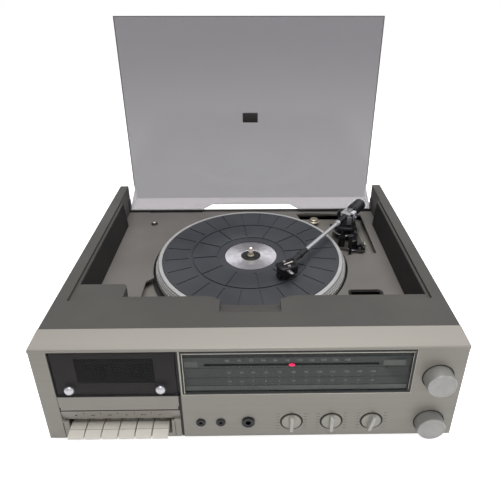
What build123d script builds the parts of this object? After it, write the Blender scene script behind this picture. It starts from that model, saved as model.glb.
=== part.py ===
"""Stereo music centre: record deck, cassette deck and radio in one low cabinet.

Millimetres, +Z up, +X to the right of someone facing the controls, +Y to the back.
The origin is on the surface it stands on, midway across and midway between the
tuning knob's face and the back of the open lid. Every piece is built at rest: lid
open, tonearm over the platter, cassette door shut, keys up.
"""
import os
from math import cos, radians, sin

from build123d import *

# ------------------------------------------------------------- driving sizes
case_width = 480.0
case_depth = 417.5          # front plate to back
front_height = 139.0        # bottom edge to front lip
top_rise = 2.0              # lip up to the flat top
foot_height = 10.0
foot_radius = 12.0
wall = 3.0                  # cabinet moulding
part_gap = 0.3              # clearance between pieces that meet
run_gap = 0.05              # radial clearance of a turning shaft

band_depth = 30.2           # silver band along the front of the top
lip_overhang = 1.2
seat_lead = 12.0            # lid seat's front edge to the recess wall
well_bite = 3.1             # how far the platter's well cuts into the recess wall
side_top = 16.0             # width of each side wall's top
seat_drop = 3.7             # flat top down to the ledge the lid rests on
seat_width = 3.5
floor_inset = 24.0          # side of the cabinet to the deck's edge
deck_drop = 46.0            # lip down to the deck
deck_thick = 3.0
deck_back_inset = 13.5      # back of the cabinet to the deck's back edge
ledge_back_inset = 62.5     # back of the cabinet to the end of the side ledges

hinge_inset = 4.0           # back of the cabinet to the lid's pivots
hinge_rise = 6.5            # deck to the lid's pivots
hinge_pin_radius = 2.0
lid_thick = 3.2
lid_gap = 0.5               # lid to cabinet all round

platter_radius = 146.0
well_gap = 3.5
well_back = 15.1            # platter's well to the deck's back edge
record_clearance = 152.0    # radius kept free for a record 301 mm across
mat_radius = 135.3
mat_thick = 4.0
mat_rise = 13.0             # deck to the mat's top
spindle_radius = 3.6
spindle_proud = 12.0
spindle_shaft_radius = 5.0  # below the record
label_recess = 1.8
chassis_drop = 12.0         # deck's top to the sub-chassis
chassis_thick = 2.0

arm_inset = 75.3            # right side of the cabinet to the arm's pivot
arm_across = 164.5          # platter's centre to the arm's pivot, sideways
arm_back = 92.0             # platter's centre to the arm's pivot, backwards
arm_rise = 30.5             # deck to the arm's pivot
arm_azimuth = 36.5          # arm's lean from straight ahead towards the platter
head_offset = 22.5          # angle of the headshell

bay_inset = 19.0            # left side of the cabinet to the cassette opening
bay_width = 141.5
slit_width = 3.1            # dark gap beside the cassette door
door_top = 6.9              # all drops below are measured from the lip
window_rise = 68.0          # rises are measured up from the cabinet's bottom edge
door_rise = 45.8
door_gap = 0.8
door_thick = 3.0
key_count = 6
key_pitch = 19.6
key_width = 17.9
key_lead = 16.8             # cassette opening's left edge to the first key's centre
key_rise = 18.5
key_proud = 13.3
key_swing_depth = 60.0      # front plate to the keys' pivots
cassette_width = 100.4
cassette_height = 63.8
reel_spacing = 42.5
reel_rise = 90.0
reel_shaft_radius = 2.0
spindle_reach = 12.0

dial_lead = 2.0             # cassette opening's right edge to the dial
dial_knob_gap = 28.3        # dial's right edge to the large knobs' centres
dial_top = 5.2
dial_rise = 69.8
dial_border = 3.4
pointer_offset = 6.75       # dial's middle to the pointer's rest place
pointer_margin = 32.85      # lens edge to the end of the pointer's travel
pointer_drop = 26.7
knob_radius = 16.9
knob_ring = 1.1             # gap round a knob in the front plate
knob_inset = 28.7           # right side of the cabinet to the large knobs' centres
tuning_drop = 46.0
volume_rise = 21.7
tuning_proud = 15.0
volume_proud = 12.5
tone_x = 48.0
selector_x = 95.2
balance_x = 142.7
small_knob_rise = 23.8
small_knob_radius = 11.4
balance_turn = 12.0         # how far the balance knob's bar leans clockwise
shaft_radius = 3.0
mic_lead = 20.5             # cassette opening's right edge to the first socket
mic_pitch = 23.5
phones_lead = 76.4
socket_rise = 24.2
mic_bore_radius = 1.8
phones_bore_radius = 3.2
phones_bore_length = 30.0

# ------------------------------------------------------------- derived places
lip_z = foot_height + front_height
top_z = lip_z + top_rise
deck_z = lip_z - deck_drop
floor_z = deck_z - deck_thick
seat_z = top_z - seat_drop
chassis_z = deck_z - chassis_drop
hinge_depth = case_depth - hinge_inset
hinge_z = deck_z + hinge_rise
lid_reach = hinge_depth + top_z - hinge_z
front_y = -(lid_reach - tuning_proud) / 2
half_width = case_width / 2
arm_x = half_width - arm_inset
platter_x = arm_x - arm_across
well_radius = platter_radius + well_gap
deck_depth = case_depth - deck_back_inset
ledge_depth = case_depth - ledge_back_inset
platter_depth = deck_depth - well_back - well_radius
arm_depth = platter_depth + arm_back
floor_start = platter_depth - well_radius + well_bite
rim_depth = floor_start - seat_lead
seat_x = half_width - side_top
ledge_x = seat_x - seat_width
floor_x = half_width - floor_inset
pocket_x = seat_x + 1.0
mat_z = deck_z + mat_rise
bay_left = half_width - bay_inset
bay_right = bay_left - bay_width
window_bottom = front_height - window_rise
door_bottom = front_height - door_rise
key_top = front_height - key_rise
key_first = bay_left - key_lead
reel_drop = front_height - reel_rise
knob_x = half_width - knob_inset
dial_left = dial_lead - bay_right
dial_right = knob_x - dial_knob_gap
dial_bottom = front_height - dial_rise
volume_drop = front_height - volume_rise
small_knob_drop = front_height - small_knob_rise
mic_x = (mic_lead - bay_right, mic_lead + mic_pitch - bay_right)
phones_x = phones_lead - bay_right
socket_drop = front_height - socket_rise


def at(depth):
    """y of a point that lies this far behind the front plate."""
    return front_y + depth


def drop(distance):
    """z of a point that lies this far below the front lip."""
    return lip_z - distance


def block(x0, x1, depth0, depth1, z0, z1, mode=Mode.ADD):
    """Straight-sided block between two x, two depths and two heights."""
    with Locations(((x0 + x1) / 2, at((depth0 + depth1) / 2), (z0 + z1) / 2)):
        Box(x1 - x0, depth1 - depth0, z1 - z0, mode=mode)


def upright(x, depth, z0, z1, radius, mode=Mode.ADD):
    """Round post or hole along Z."""
    with Locations((x, at(depth), (z0 + z1) / 2)):
        Cylinder(radius, z1 - z0, mode=mode)


def through(x, z, depth0, depth1, radius, mode=Mode.ADD):
    """Round boss or hole along Y."""
    with Locations((x, at((depth0 + depth1) / 2), z)):
        Cylinder(radius, depth1 - depth0, rotation=(90, 0, 0), mode=mode)


def crossways(x0, x1, depth, z, radius, mode=Mode.ADD):
    """Round pin or hole along X."""
    with Locations(((x0 + x1) / 2, at(depth), z)):
        Cylinder(radius, x1 - x0, rotation=(0, 90, 0), mode=mode)


def side_plane(x):
    """Plane across X at x, with its own x along Y and its y along Z."""
    return Plane(origin=(x, 0, 0), x_dir=(0, 1, 0), z_dir=(1, 0, 0))


def facing_plane(depth):
    """Plane that faces the user at this depth: x is the part's x, y is its z."""
    return Plane(origin=(0, at(depth), 0), x_dir=(1, 0, 0), z_dir=(0, -1, 0))


os.makedirs("parts", exist_ok=True)


def save(piece, name):
    """Label a finished piece and write it as its own STEP file."""
    piece.part.label = name
    export_step(piece.part, f"parts/{name}.step")


# ------------------------------------------------------------- cabinet
scoop_half = 37.0
scoop_start = (band_depth + floor_start) / 2 - 4.6
scoop_drop = 15.0
shelf_right = 57.0 - floor_x
shelf_depth = floor_start + 26.5
shelf_corner = 6.0
hollow_x = half_width - wall
skin_x = ledge_x + wall
flange = 8.0
rear_opening_x = half_width - 35.0
rear_opening_z = (foot_height + 14.0, foot_height + 74.0)
hinge_boss_radius = 4.6

with BuildPart() as top_case:
    with BuildSketch(Plane.XY.offset(foot_height)):
        with Locations((0, at((band_depth + case_depth) / 2))):
            Rectangle(case_width, case_depth - band_depth)
    extrude(amount=top_z - foot_height)
    outer_top = top_case.edges().filter_by(Axis.Y).group_by(Axis.Z)[-1]
    fillet(outer_top, radius=1.5)
    # lid seat, then the drafted recess down to the deck
    block(-seat_x, seat_x, rim_depth, case_depth + 1, seat_z, top_z + 1, Mode.SUBTRACT)
    with BuildSketch(facing_plane(case_depth - wall)):
        with BuildLine():
            Polyline((-floor_x, floor_z), (floor_x, floor_z), (ledge_x, seat_z),
                     (ledge_x, top_z + 1), (-ledge_x, top_z + 1), (-ledge_x, seat_z), close=True)
        make_face()
    extrude(amount=case_depth - wall - floor_start, mode=Mode.SUBTRACT)
    block(-pocket_x, pocket_x, ledge_depth, case_depth - wall, floor_z, top_z + 1, Mode.SUBTRACT)
    block(-pocket_x, pocket_x, case_depth - wall - 1, case_depth + 1,
          deck_z - 1, top_z + 1, Mode.SUBTRACT)
    # raised shelf in the front left corner
    with BuildSketch(Plane.XY.offset(floor_z)):
        with BuildLine():
            Polyline((-ledge_x, at(floor_start)), (shelf_right, at(floor_start)),
                     (shelf_right, at(shelf_depth)), (-ledge_x, at(shelf_depth)), close=True)
        make_face()
        fillet(vertices().sort_by(Axis.Y)[-2:].sort_by(Axis.X)[-1], radius=shelf_corner)
    extrude(amount=seat_z - floor_z)
    # finger scoop for lifting the lid, with rounded mouth corners
    with BuildSketch(side_plane(-scoop_half)):
        with BuildLine():
            Polyline((at(scoop_start), top_z), (at(floor_start + 1), drop(scoop_drop)),
                     (at(floor_start + 1), top_z + 1), (at(scoop_start), top_z + 1), close=True)
        make_face()
    extrude(amount=2 * scoop_half, mode=Mode.SUBTRACT)
    for side in (-1, 1):
        with BuildSketch(Plane.XY.offset(drop(scoop_drop))):
            with BuildLine():
                corner = (side * scoop_half, at(floor_start - 8))
                tail = (side * (scoop_half + 23), at(floor_start))
                TangentArc(tail, corner, tangent=(-side, 0))
                Polyline(corner, (side * scoop_half, at(floor_start)), tail)
            make_face()
        extrude(amount=scoop_drop + top_rise + 1, mode=Mode.SUBTRACT)
    # bite that clears the platter's front edge
    upright(platter_x, platter_depth, floor_z, top_z + 1, record_clearance, Mode.SUBTRACT)
    # hollow underside: main cavity, then the inside of each wall and rim
    block(-hollow_x, hollow_x, band_depth - 1, case_depth - wall,
          foot_height - 1, floor_z - wall, Mode.SUBTRACT)
    block(-hollow_x, hollow_x, band_depth - 1, scoop_start - wall,
          floor_z - wall - 1, top_z - wall, Mode.SUBTRACT)
    for side in (-1, 1):
        near, far = sorted((side * (scoop_half + 22), side * hollow_x))
        block(near, far, scoop_start - wall - 1, floor_start - wall,
              floor_z - wall - 1, seat_z - wall, Mode.SUBTRACT)
        near, far = sorted((side * (seat_x + wall), side * hollow_x))
        block(near, far, floor_start - wall - 1, case_depth - wall,
              floor_z - wall - 1, top_z - wall, Mode.SUBTRACT)
        near, far = sorted((side * skin_x, side * (seat_x + wall + 1)))
        block(near, far, floor_start - wall - 1, ledge_depth - wall,
              floor_z - wall - 1, seat_z - wall, Mode.SUBTRACT)
        near, far = sorted((side * (pocket_x - 2), side * hollow_x))
        crossways(near, far, hinge_depth, hinge_z, hinge_boss_radius, Mode.SUBTRACT)
    block(-ledge_x + wall, shelf_right - wall, floor_start - wall - 1, shelf_depth - wall,
          floor_z - wall - 1, seat_z - wall, Mode.SUBTRACT)
    # opening in the floor, leaving a flange that carries the deck
    block(-floor_x + flange, floor_x - flange, floor_start + flange, deck_depth - flange,
          floor_z - wall - 1, floor_z + 0.01, Mode.SUBTRACT)
    upright(platter_x, platter_depth, floor_z - wall - 1, floor_z + 1, well_radius, Mode.SUBTRACT)
    # opening for the rear panel
    block(-rear_opening_x, rear_opening_x, case_depth - wall - 1, case_depth + 1,
          rear_opening_z[0], rear_opening_z[1], Mode.SUBTRACT)
save(top_case, "top_case")

pocket_right = arm_x + 22.6
pocket_left = arm_x - 26.7
pocket_front = arm_depth - 226.4
pocket_back = arm_depth - 168.4
pocket_deep = 14.0
pocket_skin = 2.0
deck_screw = (44.9 - floor_x, deck_depth - 44.5)
chassis_screw = (arm_x - 49.8, arm_depth + 44.8)
screw_head_radius = 5.5
screw_shank_radius = 2.2
# corners of the two openings, from the arm's pivot and from the platter's centre
arm_opening = [(-81.1, 62.6), (-60.7, 66.6), (37.3, 56.6), (37.1, -72.7), (-12.9, -77.9),
               (-54.7, -31.4)]
cut_corner = [(-153.2, -105.4), (-153.2, -53.4), (-143.2, -43.4), (-128.2, -43.4),
              (-100.2, -105.4)]

with BuildPart() as deck_plate:
    side_x = floor_x - part_gap
    back_x = pocket_x - part_gap
    with BuildSketch(Plane.XY.offset(floor_z)):
        with BuildLine():
            Polyline((-side_x, at(shelf_depth + part_gap)),
                     (shelf_right + part_gap, at(shelf_depth + part_gap)),
                     (shelf_right + part_gap, at(floor_start + part_gap)),
                     (side_x, at(floor_start + part_gap)),
                     (side_x, at(ledge_depth + 1)), (back_x, at(ledge_depth + 1)),
                     (back_x, at(deck_depth)), (-back_x, at(deck_depth)),
                     (-back_x, at(ledge_depth + 1)), (-side_x, at(ledge_depth + 1)), close=True)
        make_face()
        with Locations((platter_x, at(platter_depth))):
            Circle(well_radius, mode=Mode.SUBTRACT)
        # opening for the tonearm, and the cut corner at the front left
        with BuildLine():
            Polyline(*[(arm_x + x, at(arm_depth + depth)) for x, depth in arm_opening], close=True)
        make_face(mode=Mode.SUBTRACT)
        with BuildLine():
            Polyline(*[(platter_x + x, at(platter_depth + depth)) for x, depth in cut_corner],
                     close=True)
        make_face(mode=Mode.SUBTRACT)
        with Locations((deck_screw[0], at(deck_screw[1]))):
            Circle(screw_shank_radius + part_gap, mode=Mode.SUBTRACT)
    extrude(amount=deck_thick)
    # finger pocket under the parked headshell
    with BuildSketch(Plane.XY.offset(deck_z - pocket_deep - pocket_skin)):
        with Locations(((pocket_left + pocket_right) / 2, at((pocket_front + pocket_back) / 2))):
            RectangleRounded(pocket_right - pocket_left + 2 * pocket_skin,
                             pocket_back - pocket_front + 2 * pocket_skin, 6 + pocket_skin)
    extrude(amount=pocket_deep + pocket_skin - deck_thick / 2)
    with BuildSketch(Plane.XY.offset(deck_z - pocket_deep)):
        with Locations(((pocket_left + pocket_right) / 2, at((pocket_front + pocket_back) / 2))):
            RectangleRounded(pocket_right - pocket_left, pocket_back - pocket_front, 6)
    extrude(amount=pocket_deep + 1, mode=Mode.SUBTRACT)
save(deck_plate, "deck_plate")

# ------------------------------------------------------------- underside and back
pan_thick = 2.5
pan_upstand = 6.0
foot_inset = 35.0
foot_front = 40.0
foot_back = case_depth - 32.5
foot_places = [(side * (half_width - foot_inset), at(depth))
               for side in (-1, 1) for depth in (foot_front, foot_back)]
pan_top = foot_height + pan_thick
mount_radius = 8.0
mount_height = 18.0
mount_places = [(46 - floor_x, platter_depth - 89.4), (31 - floor_x, deck_depth - 29),
                (platter_x + 99.8, platter_depth - 114.4), (floor_x - 28, deck_depth - 32)]
board_post_radius = 4.0
board_z = foot_height + 16.0
board_left = -40.0
board_right = half_width - 35.0
board_front = 85.0
board_back = 300.0
board_thick = 1.6
board_places = [(x, depth) for x in (board_left + 10, board_right - 10)
                for depth in (board_front + 10, board_back - 10)]
pan_x = half_width - wall - part_gap
pan_front = band_depth + part_gap
rear_panel_thick = 2.0
panel_depth = case_depth - wall - rear_panel_thick
pan_back = panel_depth - part_gap

with BuildPart() as base_pan:
    with BuildSketch(Plane.XY.offset(foot_height)):
        with Locations((0, at((pan_front + pan_back) / 2))):
            Rectangle(2 * pan_x, pan_back - pan_front)
    extrude(amount=pan_upstand)
    with BuildSketch(Plane.XY.offset(pan_top)):
        with Locations((0, at((pan_front + pan_back) / 2))):
            Rectangle(2 * pan_x - 2 * wall, pan_back - pan_front - 2 * wall)
    extrude(amount=pan_upstand, mode=Mode.SUBTRACT)
    # posts that carry the sub-chassis and the circuit board
    for x, depth in mount_places:
        upright(x, depth, foot_height, chassis_z - chassis_thick - mount_height, mount_radius)
    for x, depth in board_places:
        upright(x, depth, foot_height, board_z, board_post_radius)
    # cooling slots
    with BuildSketch(Plane.XY.offset(foot_height)):
        with Locations((60, at(200))):
            with GridLocations(0, 9, 1, 9):
                SlotOverall(90, 3.5)
    extrude(amount=pan_thick, mode=Mode.SUBTRACT)
save(base_pan, "base_pan")

with BuildPart() as feet:
    for x, y in foot_places:
        with Locations((x, y, foot_height / 2)):
            Cone(foot_radius - 1.5, foot_radius, foot_height)
save(feet, "feet")

din_radius = 7.5
aerial_radius = 6.0
speaker_x = (-60.0, -90.0)
aux_x = -20.0
aerial_x = 40.0
socket_z = foot_height + 44.0
inlet_x = rear_opening_x - 45.0
inlet_z = foot_height + 40.0
inlet_width = 24.0
inlet_height = 18.0

with BuildPart() as rear_panel:
    with BuildSketch(facing_plane(case_depth - wall)):
        with Locations((0, sum(rear_opening_z) / 2)):
            Rectangle(2 * rear_opening_x + 12, rear_opening_z[1] - rear_opening_z[0] + 8)
        with Locations(*[(x, socket_z) for x in (*speaker_x, aux_x)]):
            Circle(din_radius, mode=Mode.SUBTRACT)
        with Locations((aerial_x, socket_z)):
            Circle(aerial_radius, mode=Mode.SUBTRACT)
        with Locations((inlet_x, inlet_z)):
            Rectangle(inlet_width, inlet_height, mode=Mode.SUBTRACT)
        # cooling louvres in line
        with Locations((55 - rear_opening_x, socket_z)):
            with GridLocations(7, 0, 9, 1):
                SlotOverall(34, 3, rotation=90, mode=Mode.SUBTRACT)
    extrude(amount=rear_panel_thick)
save(rear_panel, "rear_panel")

pin_hole_radius = 1.3
with BuildPart() as rear_sockets:
    for x in (*speaker_x, aux_x):
        through(x, socket_z, panel_depth - 9, case_depth - wall + 1.5, din_radius)
        through(x, socket_z, panel_depth - 9, panel_depth, din_radius + 2)
        through(x, socket_z, case_depth - wall - 3, case_depth - wall + 2, din_radius - 1.2,
                Mode.SUBTRACT)
    for x in speaker_x:
        block(x - 0.7, x + 0.7, panel_depth - 6, case_depth - wall, socket_z - 4.5,
              socket_z - 0.5, Mode.SUBTRACT)
        through(x, socket_z + 3, panel_depth - 6, case_depth - wall, pin_hole_radius, Mode.SUBTRACT)
    for turn in (-90, -45, 0, 45, 90):
        through(aux_x + 4 * sin(radians(turn)), socket_z - 1 + 4 * cos(radians(turn)),
                panel_depth - 6, case_depth - wall, pin_hole_radius / 2, Mode.SUBTRACT)
    through(aerial_x, socket_z, panel_depth - 9, case_depth - wall + 8, aerial_radius)
    through(aerial_x, socket_z, panel_depth - 9, panel_depth, aerial_radius + 2)
    through(aerial_x, socket_z, case_depth - wall - 4, case_depth - wall + 9,
            aerial_radius - 1.2, Mode.SUBTRACT)
    through(aerial_x, socket_z, case_depth - wall - 5, case_depth - wall + 5, 2.0)
save(rear_sockets, "rear_sockets")

inlet_deep = 14.0
with BuildPart() as mains_inlet:
    with BuildSketch(facing_plane(case_depth - wall)):
        with Locations((inlet_x, inlet_z)):
            Rectangle(inlet_width, inlet_height)
    extrude(amount=inlet_deep + 2)
    with BuildSketch(facing_plane(panel_depth)):
        with Locations((inlet_x, inlet_z)):
            Rectangle(inlet_width + 4, inlet_height + 4)
    extrude(amount=2)
    with BuildSketch(facing_plane(case_depth - wall)):
        with Locations((inlet_x, inlet_z)):
            SlotOverall(18, 10)
    extrude(amount=inlet_deep, mode=Mode.SUBTRACT)
    for side in (-1, 1):
        through(inlet_x + side * 4.3, inlet_z, case_depth - wall - inlet_deep - 1,
                case_depth - wall - 3, 1.2)
save(mains_inlet, "mains_inlet")

# ------------------------------------------------------------- front
plate_thick = 3.0
plate_top = 2.0             # lip down to the top of the flat front
opening_top = door_top - 1.9
knobs_small = (tone_x, selector_x, balance_x)
mic_ring_radius = 5.4
phones_ring_radius = 7.7
nut_gap = 0.2
band_under = wall

with BuildPart() as front_panel:
    # top band with its rounded nose, as one profile along the whole width
    with BuildSketch(side_plane(-half_width)):
        with BuildLine():
            nose = (at(-lip_overhang), drop(1.6))
            crown = (at(0.6), drop(-0.05))
            Line(crown, (at(band_depth), top_z))
            Line((at(band_depth), top_z), (at(band_depth), top_z - band_under))
            Line((at(band_depth), top_z - band_under), (at(plate_thick), drop(band_under)))
            Line((at(plate_thick), drop(band_under)), (at(plate_thick), drop(5)))
            Line((at(plate_thick), drop(5)), (at(0), drop(5)))
            Line((at(0), drop(5)), (at(-lip_overhang), drop(3.6)))
            Line((at(-lip_overhang), drop(3.6)), nose)
            RadiusArc(nose, crown, 1.9)
        make_face()
    extrude(amount=case_width)
    # front plate with all its openings
    with BuildSketch(facing_plane(plate_thick)):
        with Locations((0, (drop(plate_top) + foot_height) / 2)):
            Rectangle(case_width, drop(plate_top) - foot_height)
        with Locations((-(bay_left + bay_right) / 2, (drop(opening_top) + foot_height - 1) / 2)):
            Rectangle(bay_left - bay_right, drop(opening_top) - foot_height + 1, mode=Mode.SUBTRACT)
        with Locations(((dial_left + dial_right) / 2, drop((dial_top + dial_bottom) / 2))):
            Rectangle(dial_right - dial_left, dial_bottom - dial_top, mode=Mode.SUBTRACT)
        with Locations((knob_x, drop(tuning_drop)), (knob_x, drop(volume_drop))):
            Circle(knob_radius + knob_ring, mode=Mode.SUBTRACT)
        with Locations(*[(x, drop(small_knob_drop)) for x in knobs_small]):
            Circle(small_knob_radius + knob_ring, mode=Mode.SUBTRACT)
        with Locations(*[(x, drop(socket_drop)) for x in mic_x]):
            Circle(mic_ring_radius + nut_gap, mode=Mode.SUBTRACT)
        with Locations((phones_x, drop(socket_drop))):
            Circle(phones_ring_radius + nut_gap, mode=Mode.SUBTRACT)
    extrude(amount=plate_thick)
    # returns along both sides and underneath
    for side in (-1, 1):
        near, far = sorted((side * hollow_x, side * half_width))
        block(near, far, plate_thick, band_depth, foot_height, top_z - band_under)
    block(-hollow_x, hollow_x, plate_thick, band_depth, foot_height, foot_height + wall)
save(front_panel, "front_panel")

# smoked front of the radio dial: bezel, lens and printed scale
lens_thick = 2.0
scale_depth = 2.0
scale_thick = 2.0
slot_half = 1.7
dial_mid = drop((dial_top + dial_bottom) / 2)
dial_width = dial_right - dial_left
dial_height = dial_bottom - dial_top
dial_x = (dial_left + dial_right) / 2
lens_width = dial_width - 2 * dial_border
lens_height = dial_height - 2 * dial_border
pointer_x = dial_x - pointer_offset
pointer_travel = lens_width / 2 - pointer_margin
pointer_slot_half = pointer_travel + 3.5
scale_back = scale_depth + scale_thick
slide_rail_radius = 1.5
slide_rail_z = drop(pointer_drop) - 6
rail_depth = scale_back + 3.6
carriage_half = 8.0
lug_margin = carriage_half + 5.0

with BuildPart() as dial_frame:
    with BuildSketch(facing_plane(plate_thick + 3)):
        with Locations((dial_x, dial_mid)):
            Rectangle(dial_width - 2 * nut_gap, dial_height - 2 * nut_gap)
            Rectangle(lens_width, lens_height, mode=Mode.SUBTRACT)
    extrude(amount=plate_thick + 3.4)
    with BuildSketch(facing_plane(plate_thick + 3)):
        with Locations((dial_x, dial_mid)):
            Rectangle(dial_width + 6, dial_height + 1.8)
            Rectangle(lens_width, lens_height, mode=Mode.SUBTRACT)
    extrude(amount=3 - nut_gap)
    inner_edges = dial_frame.faces().sort_by(Axis.Y)[0].inner_wires()[0].edges()
    chamfer(inner_edges, length=1.2)
save(dial_frame, "dial_frame")

with BuildPart() as dial_glass:
    with BuildSketch(facing_plane(scale_depth)):
        with Locations((dial_x, dial_mid)):
            Rectangle(lens_width - 2 * nut_gap, lens_height - 2 * nut_gap)
    extrude(amount=lens_thick)
    chamfer(dial_glass.faces().sort_by(Axis.Y)[0].edges(), length=0.8)
save(dial_glass, "dial_glass")

with BuildPart() as dial_scale:
    with BuildSketch(facing_plane(scale_depth + scale_thick)):
        with Locations((dial_x, dial_mid)):
            Rectangle(lens_width - 2 * nut_gap, lens_height - 2 * nut_gap)
        with Locations((pointer_x, drop(pointer_drop))):
            Rectangle(2 * pointer_slot_half, 2 * slot_half, mode=Mode.SUBTRACT)
    extrude(amount=scale_thick)
    # rail behind the scale, between two lugs, that the pointer runs along
    for side in (-1, 1):
        lug_x = pointer_x + side * (pointer_travel + lug_margin)
        block(lug_x - 2, lug_x + 2, scale_back, rail_depth + 3, slide_rail_z - 4, slide_rail_z + 4)
    crossways(pointer_x - pointer_travel - lug_margin, pointer_x + pointer_travel + lug_margin,
              rail_depth, slide_rail_z, slide_rail_radius)
save(dial_scale, "dial_scale")

# black plate behind the front that carries the controls
bracket_depth = 9.0
bracket_thick = 2.0
bracket_left = dial_left + 1.0
bracket_right = hollow_x - part_gap
bracket_step = knob_x - knob_radius - knob_ring - 4
pot_radius = 11.0
pot_length = 9.0
boss_places = [(knob_x, drop(tuning_drop)), (knob_x, drop(volume_drop))]
boss_places += [(x, drop(small_knob_drop)) for x in knobs_small]

with BuildPart() as control_plate:
    with BuildSketch(facing_plane(bracket_depth + bracket_thick)):
        with BuildLine():
            low = foot_height + wall + part_gap
            step = drop(dial_bottom + 4)
            Polyline((bracket_left, low), (bracket_right, low), (bracket_right, drop(24)),
                     (bracket_step, drop(24)), (bracket_step, step), (bracket_left, step),
                     close=True)
        make_face()
        with Locations(*boss_places):
            Circle(shaft_radius + run_gap, mode=Mode.SUBTRACT)
        with Locations(*[(x, drop(socket_drop)) for x in (*mic_x, phones_x)]):
            Circle(phones_ring_radius + 0.5, mode=Mode.SUBTRACT)
    extrude(amount=bracket_thick)
    # spacers that hold it off the back of the front panel
    for x, z in ((phones_x + 23.1, drop(socket_drop - 10.8)), (knob_x - 41.3, drop(dial_bottom + 20.8)),
                 (bracket_right - 6, drop(dial_bottom + 10.8)), (phones_x - 14.9, drop(dial_bottom + 15.8))):
        through(x, z, plate_thick, bracket_depth, 3.0)
    # threaded bushes round the shafts
    for x, z in boss_places:
        through(x, z, bracket_depth - 3, bracket_depth, shaft_radius + 2)
        through(x, z, bracket_depth - 4, bracket_depth + 1, shaft_radius + run_gap, Mode.SUBTRACT)
save(control_plate, "control_plate")

with BuildPart() as control_pots:
    for x, z in boss_places:
        through(x, z, bracket_depth + bracket_thick, bracket_depth + bracket_thick + pot_length,
                pot_radius)
        through(x, z, bracket_depth, bracket_depth + bracket_thick + pot_length - 1.5,
                shaft_radius + run_gap, Mode.SUBTRACT)
save(control_pots, "control_pots")
shaft_reach = bracket_depth + bracket_thick + pot_length - 2


def knob(name, z, proud):
    """Large turned knob: slightly tapered drum, domed face edge, stepped shaft."""
    with BuildPart() as piece:
        with BuildSketch(Plane(origin=(knob_x, at(0), z), x_dir=(1, 0, 0), z_dir=(0, 0, 1))):
            with BuildLine():
                Polyline((0, -proud), (knob_radius - 1.4, -proud), (knob_radius - 0.7, -proud + 0.7),
                         (knob_radius, 1.5), (knob_radius, plate_thick + 1), (0, plate_thick + 1),
                         close=True)
            make_face()
        revolve(axis=Axis((knob_x, at(0), z), (0, 1, 0)))
        through(knob_x, z, plate_thick + 1, shaft_reach, shaft_radius)
    save(piece, name)


knob("tuning_knob", drop(tuning_drop), tuning_proud)
knob("volume_knob", drop(volume_drop), volume_proud)

bar_width = 5.2
bar_proud = 5.5
disc_proud = 1.2


def small_knob(name, x, turn):
    """Flush disc with a raised finger bar across it, turned clockwise by an angle."""
    z = drop(small_knob_drop)
    with BuildPart() as piece:
        through(x, z, -disc_proud, plate_thick, small_knob_radius)
        chamfer(piece.faces().sort_by(Axis.Y)[0].edges(), length=0.4)
        lean = (cos(radians(turn)), 0, -sin(radians(turn)))
        with BuildSketch(Plane(origin=(x, at(-disc_proud + 0.2), z), x_dir=lean, z_dir=(0, -1, 0))):
            SlotOverall(2 * small_knob_radius + 0.6, bar_width, rotation=90)
        extrude(amount=bar_proud, taper=6)
        through(x, z, plate_thick, shaft_reach, shaft_radius)
    save(piece, name)


small_knob("tone_knob", tone_x, 0)
small_knob("selector_knob", selector_x, 0)
small_knob("balance_knob", balance_x, balance_turn)

with BuildPart() as dial_pointer:
    through(pointer_x, drop(pointer_drop), scale_depth + 0.4, rail_depth, 1.2)
    block(pointer_x - carriage_half, pointer_x + carriage_half, scale_back + 0.6,
          rail_depth + 3, slide_rail_z - 4, drop(pointer_drop) + 3)
    crossways(pointer_x - carriage_half - 1, pointer_x + carriage_half + 1, rail_depth,
              slide_rail_z, slide_rail_radius + run_gap, Mode.SUBTRACT)
save(dial_pointer, "dial_pointer")

with BuildPart() as mic_sockets:
    for x in mic_x:
        through(x, drop(socket_drop), -1.5, plate_thick, mic_ring_radius)
        through(x, drop(socket_drop), plate_thick, 18, 4.0)
        through(x, drop(socket_drop), plate_thick, plate_thick + 3, mic_ring_radius + 2)
    chamfer(mic_sockets.faces().filter_by(Axis.Y).group_by(Axis.Y)[0].edges(), length=0.5)
    for x in mic_x:
        through(x, drop(socket_drop), -2, 15, mic_bore_radius, Mode.SUBTRACT)
save(mic_sockets, "mic_sockets")

phones_tip = 2.0
with BuildPart() as phones_socket:
    x, z = phones_x, drop(socket_drop)
    through(x, z, -phones_tip, plate_thick, phones_ring_radius)
    chamfer(phones_socket.faces().sort_by(Axis.Y)[0].edges(), length=0.8)
    through(x, z, plate_thick, plate_thick + 3, phones_ring_radius + 2)
    through(x, z, plate_thick, phones_bore_length + 1, phones_bore_radius + 3)
    through(x, z, -phones_tip - 1, phones_bore_length - phones_tip, phones_bore_radius,
            Mode.SUBTRACT)
save(phones_socket, "phones_socket")

# ------------------------------------------------------------- cassette deck
bay_mid = -(bay_left + bay_right + slit_width) / 2
block_right = -(bay_right + slit_width)
block_left = -bay_left + part_gap
fascia_top = door_bottom + door_gap
label_bottom = key_top - 9.5
key_sill = key_top + 12.0
key_opening_right = -bay_right - 10.5
label_set_back = 3.5
fascia_depth = 16.0
door_pivot_depth = 2.0
door_pivot_rise = 1.7
door_pivot_z = drop(door_bottom - door_pivot_rise)
door_pin_radius = 0.9
cheek = 1.4                 # ears that hold the door's pins
cheek_top = drop(door_bottom - 4.6)
window_left = block_left + 0.2
window_right = block_right - 0.2

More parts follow.
